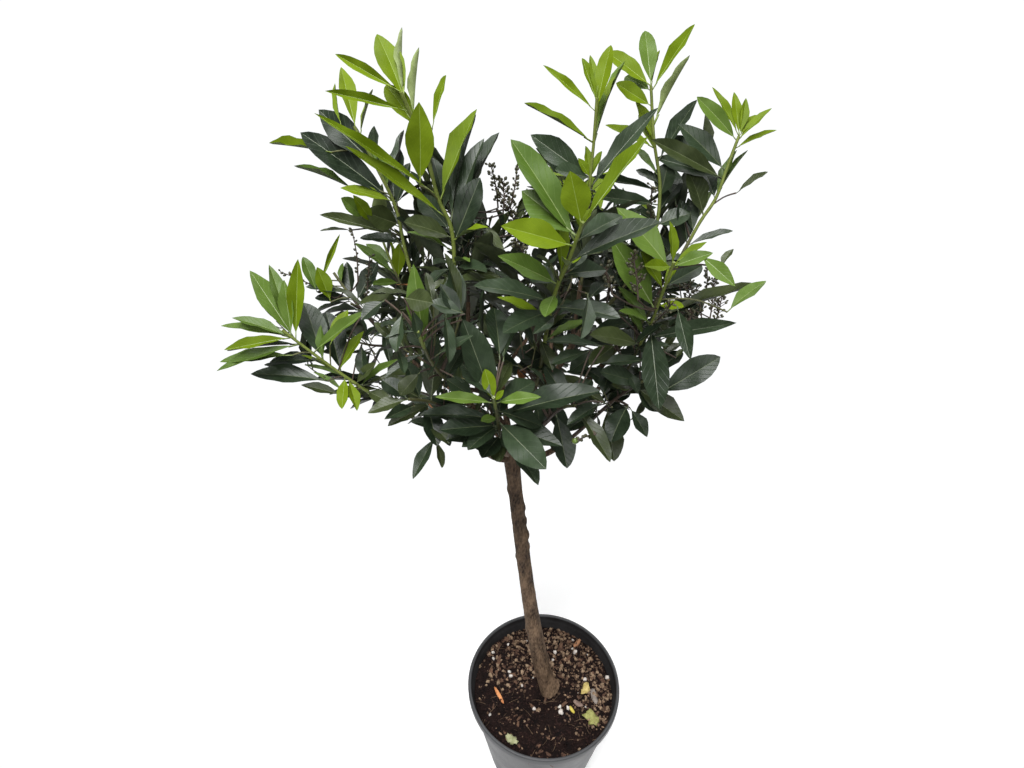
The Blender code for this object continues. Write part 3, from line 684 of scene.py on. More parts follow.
def skin_tree():
    """Sweeps a round skin along curves with their own radii, and gives it a relief in two sizes: long
    ridges along the wood and small bumps."""
    tree, given, output = new_tree("skin", "GeometryNodeTree", (
        GEOMETRY, ("Sides", "Int"), ("Spacing", "Float"), ("Relief", "Float"), ("Bumps", "Float"),
        ("Finish", "Material")), (GEOMETRY,))
    spaced = add_node(tree, "GeometryNodeResampleCurve", {"Curve": given["Geometry"], "Length": given["Spacing"]},
                      mode="LENGTH")
    round_line = add_node(tree, "GeometryNodeCurvePrimitiveCircle", {"Radius": 1, "Resolution": given["Sides"]})
    radius = add_node(tree, "GeometryNodeInputRadius")
    sweep = add_node(tree, "GeometryNodeCurveToMesh", {
        "Curve": spaced.outputs[0], "Profile Curve": round_line.outputs[0], "Scale": radius.outputs[0],
        "Fill Caps": True})
    place = add_node(tree, "GeometryNodeInputPosition").outputs[0]
    along = add_node(tree, "ShaderNodeVectorMath", {0: place, 1: RIDGE_STRETCH}, operation="MULTIPLY").outputs[0]
    heights = []
    for spot, scale, amount in ((along, RIDGE_SCALE, "Relief"), (place, BUMP_SCALE, "Bumps")):
        texture = add_node(tree, "ShaderNodeTexNoise", {"Vector": spot, "Scale": scale})
        level = maths(tree, "SUBTRACT", texture.outputs["Fac"], 0.5)
        heights.append(maths(tree, "MULTIPLY", level, given[amount]))
    normal = add_node(tree, "GeometryNodeInputNormal")
    out = add_node(tree, "ShaderNodeVectorMath", {0: normal.outputs["Normal"], "Scale": maths(tree, "ADD", *heights)},
                   operation="SCALE")
    move = add_node(tree, "GeometryNodeSetPosition", {"Geometry": sweep.outputs[0], "Offset": out.outputs[0]})
    return realized(tree, given, output, move.outputs[0])


def skinned(name, lines, sides, spacing, relief, bumps, finish):
    """One piece for many lines, each a list of points and a list of radii."""
    curve = bpy.data.curves.new(name + "_lines", "CURVE")
    curve.dimensions = "3D"
    for points, radii in lines:
        spline = curve.splines.new("POLY")
        spline.points.add(len(points) - 1)
        for point, place, radius in zip(spline.points, points, radii):
            point.co = (*place, 1)
            point.radius = radius
    drawn = bpy.data.objects.new(name + "_lines", curve)
    scene.collection.objects.link(drawn)
    add_tree(drawn, skin, {"Sides": sides, "Spacing": spacing, "Relief": relief, "Bumps": bumps, "Finish": finish})
    mesh = evaluated_mesh(drawn)
    bpy.data.objects.remove(drawn)
    bm = bmesh.new()
    bm.from_mesh(mesh)
    bmesh.ops.remove_doubles(bm, verts=bm.verts, dist=MERGE_DISTANCE)
    bmesh.ops.recalc_face_normals(bm, faces=bm.faces)
    bm.to_mesh(mesh)
    bm.free()
    mesh.shade_smooth()
    piece = bpy.data.objects.new(name, mesh)
    scene.collection.objects.link(piece)
    return piece


def add_knobs(piece):
    """Raises each knob as a round swelling with a dimple, and spreads the foot into low roots."""
    for vert in piece.data.vertices:
        share = (vert.co.z - TRUNK_FOOT.z) / (TRUNK_TOP.z - TRUNK_FOOT.z)
        middle = trunk_point(min(max(share, 0), 1))
        out = (vert.co - middle).to_2d()
        angle = math.atan2(out.y, out.x)
        away = Vector((math.cos(angle), math.sin(angle), 0))
        for height, side, width, swell in KNOBS:
            turn = (angle - math.radians(side) + math.pi) % math.tau - math.pi
            apart = ((vert.co.z - height) ** 2 + (turn * out.length) ** 2) / width ** 2
            if apart < KNOB_REACH ** 2:
                vert.co += away * swell * (KNOB_CROWN * math.exp(-apart) - KNOB_DIMPLE * math.exp(-6 * apart))
        low = math.exp(-max(vert.co.z - TRUNK_FOOT.z, 0) / FLARE_HEIGHT)
        vert.co += away * FLARE_SWELL * low * math.cos(3 * angle - 0.5)


TRUNK_LINE_STEPS = 120
TRUNK_SIDES = 56
# Painted light: the bark is brightened by this factor at its foot, fading out at the height below, against the shade on
# the lower stem
FOOT_PAINTED_LIGHT = 1.85
PAINTED_LIGHT_TOP = 0.62


def painted_light_at_foot(material):
    """Makes the bark paler towards its foot: painted light against the shade that falls on the lower stem."""
    tree = material.node_tree
    base = tree.nodes["Principled BSDF"].inputs["Base Color"]
    place = add_node(tree, "ShaderNodeTexCoord")
    split = add_node(tree, "ShaderNodeSeparateXYZ", {0: place.outputs["Object"]})
    low = add_node(tree, "ShaderNodeMapRange", {
        "Value": split.outputs["Z"], "From Min": COMPOST_LEVEL, "From Max": PAINTED_LIGHT_TOP, "To Min": FOOT_PAINTED_LIGHT})
    paler = add_node(tree, "ShaderNodeVectorMath", {0: base.links[0].from_socket, "Scale": low.outputs["Result"]},
                     operation="SCALE")
    tree.links.new(paler.outputs[0], base)


skin = skin_tree()
bark = mottled("grey_brown_bark", (0.009, 0.005, 0.003), (0.164, 0.108, 0.068), 70, 420, (0.72, 0.92), 0.0022,
               (1, 1, 0.35), 0.2)
painted_light_at_foot(bark)
shares = [step / TRUNK_LINE_STEPS for step in range(TRUNK_LINE_STEPS + 1)]
trunk_bark = skinned("trunk_bark", [([trunk_point(share) for share in shares],
                                     [trunk_radius(share) for share in shares])],
                     TRUNK_SIDES, 0.0019, 0.0011, 0.0009, bark)
add_knobs(trunk_bark)
hand_in(trunk_bark, "bark", "trunk")


# The boughs: a head of limbs that leave the stem close together and fork again, each one tapering and
# rising to its own leafy tip. They are grown from the same table of limbs as the solids.
BOUGH_RADIUS = 0.0046
FORK_TAPER = 0.7
LOW_END = 40
SHOOT_TIP_RADIUS = 0.0022
BOUGH_SHARE = 0.40
BOUGH_POINTS = 6
STEM_POINTS = 6
LIMB_STEPS = 32
SET_OFF_PULL = 0.40
ARRIVAL_PULL = 0.36
COLLAR_SWELL = 0.35
COLLAR_LENGTH = 0.010

# Every limb: its parent, how far up the parent it leaves, where its tip ends, the angles above the
# level at which it sets off and ends, its side twigs, its leaf length, how far from its line its
# leaves may reach, and the flower spikes that it bears
LIMBS = (
    ("top_left", "trunk", 0.998, (-0.160, -0.060, 1.192), 62, 88, 3, 0.098, 0.085, 0),
    ("upper_left", "trunk", 0.965, (-0.232, 0.030, 1.140), 44, 84, 4, 0.096, 0.080, 0),
    ("low_left", "trunk", 0.935, (-0.316, -0.040, 0.972), 26, 50, 4, 0.088, 0.092, 0),
    ("mid_left", "upper_left", 0.24, (-0.285, 0.070, 0.995), 24, 56, 4, 0.084, 0.080, 1),
    ("front_left", "top_left", 0.22, (-0.145, -0.160, 1.035), 34, 70, 4, 0.082, 0.085, 0),
    ("front_low_left", "trunk", 0.925, (-0.168, -0.120, 0.936), 28, 24, 4, 0.080, 0.076, 0),
    ("front_centre", "trunk", 0.955, (-0.080, -0.165, 0.970), 26, 55, 3, 0.078, 0.076, 0),
    ("front_right", "trunk", 0.970, (-0.022, -0.130, 1.130), 48, 78, 4, 0.096, 0.095, 0),
    ("front_low_right", "front_right", 0.20, (0.000, -0.135, 0.940), 20, 28, 4, 0.080, 0.080, 0),
    ("centre", "top_left", 0.32, (-0.115, 0.050, 1.090), 60, 84, 4, 0.088, 0.085, 1),
    ("upper_right", "top_right", 0.34, (0.013, -0.022, 1.182), 66, 88, 3, 0.090, 0.085, 0),
    ("top_right", "trunk", 0.978, (0.080, 0.052, 1.190), 56, 92, 3, 0.094, 0.085, 1),
    ("far_right", "trunk", 0.945, (0.164, 0.040, 1.152), 44, 80, 4, 0.084, 0.066, 0),
    ("mid_right", "far_right", 0.26, (0.118, -0.080, 1.040), 30, 62, 4, 0.086, 0.082, 1),
    ("low_right", "trunk", 0.915, (0.110, -0.060, 0.935), 22, 30, 4, 0.084, 0.082, 0),
    ("back_left", "trunk", 0.950, (-0.240, 0.155, 1.010), 34, 66, 4, 0.088, 0.085, 1),
    ("back_centre", "trunk", 0.980, (-0.105, 0.190, 1.040), 46, 76, 4, 0.090, 0.085, 0),
    ("back_upper", "top_right", 0.20, (0.004, 0.112, 1.085), 60, 82, 3, 0.086, 0.080, 0),
    ("back_right", "back_centre", 0.28, (0.055, 0.165, 1.050), 44, 74, 4, 0.088, 0.085, 1),
    ("back_low_left", "back_left", 0.24, (-0.175, 0.180, 0.910), 14, 28, 4, 0.084, 0.080, 0),
    ("back_low_right", "trunk", 0.930, (0.000, 0.180, 0.905), 18, 34, 4, 0.086, 0.080, 0),
    ("right_back", "far_right", 0.22, (0.130, 0.110, 0.975), 20, 46, 4, 0.084, 0.080, 1),
)


def heading(flat, degrees):
    return flat * math.cos(math.radians(degrees)) + UP * math.sin(math.radians(degrees))


def part_lengths(points):
    return [(b - a).length for a, b in zip(points, points[1:])]


def point_along(points, share):
    """The point at a share of a polyline's length, and the direction there."""
    lengths = part_lengths(points)
    left = share * sum(lengths)
    for a, b, length in zip(points, points[1:], lengths):
        if left <= length or b is points[-1]:
            return a.lerp(b, left / length), (b - a).normalized()
        left -= length


def distance_to(points, place):
    return min((point - place).length for point in points)


def limb_line(start, tip, rise, end):
    """A smooth line that sets off at one angle and ends at another."""
    flat = Vector((tip.x - start.x, tip.y - start.y, 0)).normalized()
    reach = (tip - start).length
    out = start + heading(flat, rise) * reach * SET_OFF_PULL
    into = tip - heading(flat, end) * reach * ARRIVAL_PULL
    steps = [step / LIMB_STEPS for step in range(LIMB_STEPS + 1)]
    return [start * (1 - t) ** 3 + out * 3 * t * (1 - t) ** 2 + into * 3 * t * t * (1 - t) + tip * t ** 3
            for t in steps]


def limb_radius(limb, share):
    return limb["radius"] + (SHOOT_TIP_RADIUS - limb["radius"]) * share ** 0.8


def plan_limbs():
    """Every limb's line, radius and foliage sizes, parents before their own side limbs."""
    trunk = [trunk_point(share) for share in TRUNK_STATIONS]
    planned = {}
    waiting = list(LIMBS)
    while waiting:
        row = waiting.pop(0)
        name, parent, share, tip, rise, end, twigs, leaf, reach, spikes = row
        if parent != "trunk" and parent not in planned:
            waiting.append(row)
            continue
        start, _ = point_along(trunk if parent == "trunk" else planned[parent]["line"], share)
        radius = BOUGH_RADIUS if parent == "trunk" else FORK_TAPER * limb_radius(planned[parent], share)
        planned[name] = {
            "name": name, "line": limb_line(start, Vector(tip), rise, end), "radius": radius,
            "twigs": twigs, "leaf": leaf, "reach": reach, "spikes": spikes, "low": end < LOW_END,
        }
    return planned


def stretch(limb, start, end, count):
    """Points and radii of a part of a limb's line."""
    shares = [start + (end - start) * step / (count - 1) for step in range(count)]
    points = [point_along(limb["line"], share)[0] for share in shares]
    return points, [limb_radius(limb, share) for share in shares]


def with_collar(points, radii):
    """The same limb with its foot swollen where it joins its parent."""
    return points, [radius * (1 + COLLAR_SWELL * math.exp(-(point - points[0]).length / COLLAR_LENGTH))
                    for point, radius in zip(points, radii)]


limbs = plan_limbs()
boughs_bark = skinned("boughs_bark", [with_collar(*stretch(limb, 0, BOUGH_SHARE, 24)) for limb in limbs.values()],
                      14, 0.003, 0.0006, 0.0005, bark)
hand_in(boughs_bark, "bark", *("bough_" + name for name in limbs))


# The shoots: green to brown twigs that branch from each limb's stem by the seeded rule of the solids,
# and finer ones in the room that is left. They carry the leaves that the front shows one by one, and
# then those of the rule.
GOLDEN_ANGLE = math.radians(137.5)
FACE_ANGLE = math.tau / 3
LEAF_SLENDERNESS = 3.3
LEAF_DEPTH = 0.0018
LEAF_STATIONS = ((0.34, 0.94), (0.68, 0.90))
KEEL_SHARE = 0.5
LEAF_SPACING = 0.0140
LEAFY_FROM = 0.2
LEAFY_TO = 0.97
TWIG_SHARES = (0.0, 0.12, 0.50, 1.0)
TWIG_RADII = (0.0009, 0.0028, 0.0025, SHOOT_TIP_RADIUS)
TWIG_LENGTH = 0.080
TWIG_SPREAD = (42, 58)
TWIG_LIFT = 0.34
LOW_TWIG_LIFT = 0.10
SPIKE_LENGTH = 0.068
SPIKE_BEADS = 5
SPIKE_RADII = (0.0014, 0.0034)
TRIES = 7
STEM_STEPS = 40
GUARD = 0.0006
SEED = 15
LEAF_FACES = ((0, 2, 1), (1, 2, 4, 3), (3, 4, 5), (0, 1, 6), (1, 3, 6), (3, 5, 6), (5, 4, 6), (4, 2, 6),
              (2, 0, 6))
BLADE_FACES = ((1, 2, 4, 3), (3, 4, 5), (1, 3, 6), (3, 5, 6), (5, 4, 6), (4, 2, 6))


def level_side(direction):
    side = direction.cross(UP)
    return side.normalized() if side.length > 0.05 else Vector((1, 0, 0))


def frames_along(points):
    """The direction and a side at every point, the side carried along without a twist."""
    frames = []
    side = None
    for index in range(len(points)):
        ahead = (points[min(index + 1, len(points) - 1)] - points[max(index - 1, 0)]).normalized()
        side = level_side(ahead) if side is None else side
        side = (side - ahead * side.dot(ahead)).normalized()
        frames.append((ahead, side))
    return frames


def tube_shape(points, radii, sides=3, turns=None):
    """Corners and faces of a tube. Turns holds the angle by which each ring is turned."""
    verts = []
    for index, (ahead, side) in enumerate(frames_along(points)):
        other = ahead.cross(side)
        for corner in range(sides):
            angle = corner * math.tau / sides + (turns[index] if turns else 0)
            away = side * math.cos(angle) + other * math.sin(angle)
            verts.append(points[index] + away * radii[index])
    return verts, tube_faces(len(points), sides)


class Room:
    """What is already placed. A new shape has to miss all of it, but for the one twig that it grows
    from, which only its outer part has to miss."""

    def __init__(self):
        self.shapes = []

    def add(self, verts, faces, twig=None):
        centre = sum(verts, Vector()) / len(verts)
        reach = max((vert - centre).length for vert in verts)
        self.shapes.append((twig, BVHTree.FromPolygons(verts, faces), centre, reach))

    def is_free(self, verts, faces, own_twig=None, outer_faces=None):
        whole = BVHTree.FromPolygons(verts, faces)
        outer = BVHTree.FromPolygons(verts, outer_faces) if outer_faces else None
        centre = sum(verts, Vector()) / len(verts)
        reach = max((vert - centre).length for vert in verts)
        for twig, shape, middle, radius in self.shapes:
            if (middle - centre).length > reach + radius:
                continue
            mine = outer if own_twig and twig is own_twig else whole
            if mine and mine.overlap(shape):
                return False
        return True


def leaf_corners(leaf, grow=0.0):
    """A leaf's seven corners: its foot, two at each station, its tip and its keel."""
    def spot(share):
        bend = leaf["curl"] * share * share
        return leaf["root"] + (leaf["along"] * share - leaf["normal"] * bend) * leaf["length"]

    half = leaf["length"] / LEAF_SLENDERNESS / 2
    corners = [spot(0)]
    for share, width in LEAF_STATIONS:
        middle = spot(share) + leaf["normal"] * grow
        across = leaf["side"] * (half * width + grow)
        corners += [middle - across, middle + across]
    tip = spot(1 + grow / leaf["length"])
    return [*corners, tip, spot(KEEL_SHARE) - leaf["normal"] * (LEAF_DEPTH + grow)]


def make_twig(points, radii, phase):
    """A three-sided twig, twisted so that each next leaf leaves the middle of its next face at the
    golden angle to the one before."""
    lengths = part_lengths(points)
    count = max(5, round(sum(lengths) / LEAF_SPACING))
    twist = (GOLDEN_ANGLE - FACE_ANGLE) * (count - 1)
    shares = [sum(lengths[:index]) / sum(lengths) for index in range(len(points))]
    return {"points": points, "radii": radii, "count": count, "phase": phase, "twist": twist,
            "shares": shares, "turns": [phase + twist * share for share in shares]}


def twig_shape(twig, grow=0.0):
    return tube_shape(twig["points"], [radius + grow for radius in twig["radii"]], 3, twig["turns"])


def on_twig(twig, share, face):
    """A point on a twig's middle line, its direction there, and the way out of one of its faces."""
    root, shoot = point_along(twig["points"], share)
    above = next(index for index, ring in enumerate(twig["shares"]) if ring >= share and index)
    low, high = twig["shares"][above - 1:above + 1]
    (_, side), (_, next_side) = frames_along(twig["points"])[above - 1:above + 1]
    side = side.lerp(next_side, (share - low) / (high - low))
    side = (side - shoot * side.dot(shoot)).normalized()
    angle = twig["phase"] + twig["twist"] * share + (face + 0.5) * FACE_ANGLE
    away = side * math.cos(angle) + shoot.cross(side) * math.sin(angle)
    return root, shoot, away


def leaf_at(root, shoot, away, spread, length, curl, hang):
    """One leaf on a shoot: how far it spreads from it, and how far its blade turns to the light."""
    along = (shoot * math.cos(spread) + away * math.sin(spread) - UP * hang).normalized()
    facing = shoot * math.sin(spread) - away * math.cos(spread) + UP * 0.9
    normal = (facing - along * facing.dot(along)).normalized()
    return {"root": root, "along": along, "normal": normal, "side": along.cross(normal).normalized(),
            "length": length, "curl": curl}


def grow_twigs(limb, rng, room):
    """The side twigs of a mass: each leaves a face of the stem and turns up towards the light."""
    stem_length = sum(part_lengths(limb["stem"]["points"]))
    lift = UP * (LOW_TWIG_LIFT if limb["low"] else TWIG_LIFT)
    twigs = []
    for number in range(limb["twigs"]):
        share = 0.10 + 0.62 * (number + 0.3 * rng.random()) / limb["twigs"]
        length = min(TWIG_LENGTH, stem_length * (0.62 - 0.30 * share)) * rng.uniform(0.88, 1.12)
        spread = math.radians(rng.uniform(*TWIG_SPREAD))
        phase = rng.uniform(0, math.tau)
        for attempt in range(TRIES):
            root, shoot, away = on_twig(limb["stem"], share + 0.02 * attempt, 2 * number + attempt)
            set_off = shoot * math.cos(spread) + away * math.sin(spread)
            line = [root + (set_off * step + lift * step * step) * length for step in TWIG_SHARES]
            twig = make_twig(line, TWIG_RADII, phase)
            if room.is_free(*twig_shape(twig, 2 * GUARD), own_twig=limb["stem"]):
                room.add(*twig_shape(twig), twig)
                twigs.append(twig)
                break
    return twigs


def grow_spikes(limb, rng, room):
    """Upright spikes of flower buds on the upper half of the stem."""
    points_up = 2 * SPIKE_BEADS + 2
    radii = [SPIKE_RADII[0], *([SPIKE_RADII[0], SPIKE_RADII[1]] * SPIKE_BEADS), SPIKE_RADII[0]]
    spikes = []
    for number in range(limb["spikes"]):
        for attempt in range(TRIES):
            share = 0.45 + 0.08 * attempt
            root, shoot, away = on_twig(limb["stem"], share, number + attempt)
            way = (shoot * 0.6 + away * 0.75 + UP * 0.4).normalized()
            steps = [0, *(0.30 + 0.70 * step / points_up for step in range(1, points_up))]
            line = [root + (way * step + UP * 0.12 * step * step) * SPIKE_LENGTH for step in steps]
            spike = {"points": line, "radii": radii, "turns": [rng.uniform(0, 1)] * len(line)}
            if room.is_free(*twig_shape(spike, GUARD), own_twig=limb["stem"]):
                room.add(*twig_shape(spike))
                spikes.append(spike)
                break
    return spikes


def grow_leaves(limb, twig, rng, room):
    """Leaves down a twig from its tip: short and upright at the tip, wide and hanging low down."""
    leaves = []
    for index in range(twig["count"] - 1, -1, -1):
        rank = index / (twig["count"] - 1)
        size = limb["leaf"] * (0.70 + 0.42 * math.sin(math.pi * (0.16 + 0.66 * (1 - rank))))
        size *= rng.uniform(0.90, 1.10)
        spread = math.radians(70 - 44 * rank + rng.uniform(-8, 8))
        curl = 0.16 - 0.09 * rank + rng.uniform(-0.05, 0.05)
        hang = (0.30 if limb["low"] else 0.14) * (1 - rank) + rng.uniform(-0.05, 0.05)
        for attempt in range(TRIES):
            share = LEAFY_FROM + (LEAFY_TO - LEAFY_FROM) * rank
            root, shoot, away = on_twig(twig, share, index + attempt)
            leaf = leaf_at(root, shoot, away, spread, size * (1 - 0.04 * attempt), curl, hang)
            whole = leaf_corners(leaf, GUARD)
            if distance_to(limb["line"], whole[5]) > limb["reach"]:
                continue
            if room.is_free(whole, LEAF_FACES, twig, BLADE_FACES):
                room.add(leaf_corners(leaf), LEAF_FACES)
                leaves.append({**leaf, "rank": rank, "share": share})
                break
    return leaves


def smooth_line(points, radii, count):
    """A smoother line through the same points, and its radii."""
    shares = list(accumulate(part_lengths(points), initial=0))
    line, widths = [], []
    for step in range(count):
        at = shares[-1] * step / (count - 1)
        index = max(i for i in range(len(points) - 1) if shares[i] <= at)
        t = (at - shares[index]) / (shares[index + 1] - shares[index])
        before = points[max(index - 1, 0)]
        after = points[min(index + 2, len(points) - 1)]
        a, b = points[index], points[index + 1]
        line.append(((2 * a) + (b - before) * t + (2 * before - 5 * a + 4 * b - after) * t * t
                     + (3 * a - before - 3 * b + after) * t ** 3) / 2)
        widths.append(radii[index] + (radii[index + 1] - radii[index]) * t)
    return line, widths


# The course of a stem where the picture shows it, in pixels, from its bough's end to its tip
STEM_COURSES = {
    "top_left": ((455, 290), (452, 232), (438, 198), (425, 150), (401, 92)),
    "upper_left": ((418, 300), (404, 245), (396, 208), (378, 170), (354, 126)),
    "front_right": ((541, 364), (548, 322), (556, 290), (568, 262), (577, 238), (583, 222)),
    "top_right": ((622, 290), (652, 240), (660, 190), (654, 140), (651, 86)),
    "upper_right": ((581, 285), (588, 225), (590, 182), (594, 140), (597, 98)),
    "far_right": ((650, 312), (680, 258), (700, 222), (716, 198), (728, 165), (739, 136)),
    "mid_right": ((640, 345), (651, 324), (660, 300), (668, 278), (674, 262)),
}


def stem_points(limb):
    """A stem's line from its bough's end: the limb's own, or the one that the picture shows, at the
    limb's own distance."""
    length = sum(part_lengths(limb["line"]))
    points, radii = stretch(limb, BOUGH_SHARE + CLEARANCE / length, 1.0, STEM_POINTS)
    course = STEM_COURSES.get(limb["name"])
    if not course:
        return points, radii
    start, near = picture(points[0])
    _, far = picture(points[-1])
    turns = [Vector(start), *(Vector(pixel) for pixel in course)]
    walked = list(accumulate(part_lengths(turns), initial=0))
    shares = [walk / walked[-1] for walk in walked]
    line = [points[0], *(spot_behind(pixel, near + (far - near) * share)
                         for pixel, share in zip(turns[1:], shares[1:]))]
    return line, [radii[0] + (radii[-1] - radii[0]) * share for share in shares]


def grow_wood(room, rng):
    """Stem and boughs first, then the twigs, then the flower spikes, so that no leaf takes their room."""
    trunk = [trunk_point(share) for share in TRUNK_STATIONS]
    room.add(*tube_shape(trunk, [trunk_radius(share) for share in TRUNK_STATIONS], 8))
    for limb in limbs.values():
        points, radii = stretch(limb, 0, BOUGH_SHARE, BOUGH_POINTS)
        room.add(*tube_shape(points, [radius + GUARD for radius in radii], 6))
        limb["stem"] = make_twig(*stem_points(limb), rng.uniform(0, math.tau))
        limb["stem_line"] = smooth_line(limb["stem"]["points"], limb["stem"]["radii"], STEM_STEPS)
        room.add(*twig_shape(limb["stem"]), limb["stem"])
    for limb in limbs.values():
        limb["side_twigs"] = grow_twigs(limb, rng, room)
    for limb in limbs.values():
        limb["spike_lines"] = grow_spikes(limb, rng, room)


room = Room()
crown_rng = random.Random(SEED)
grow_wood(room, crown_rng)


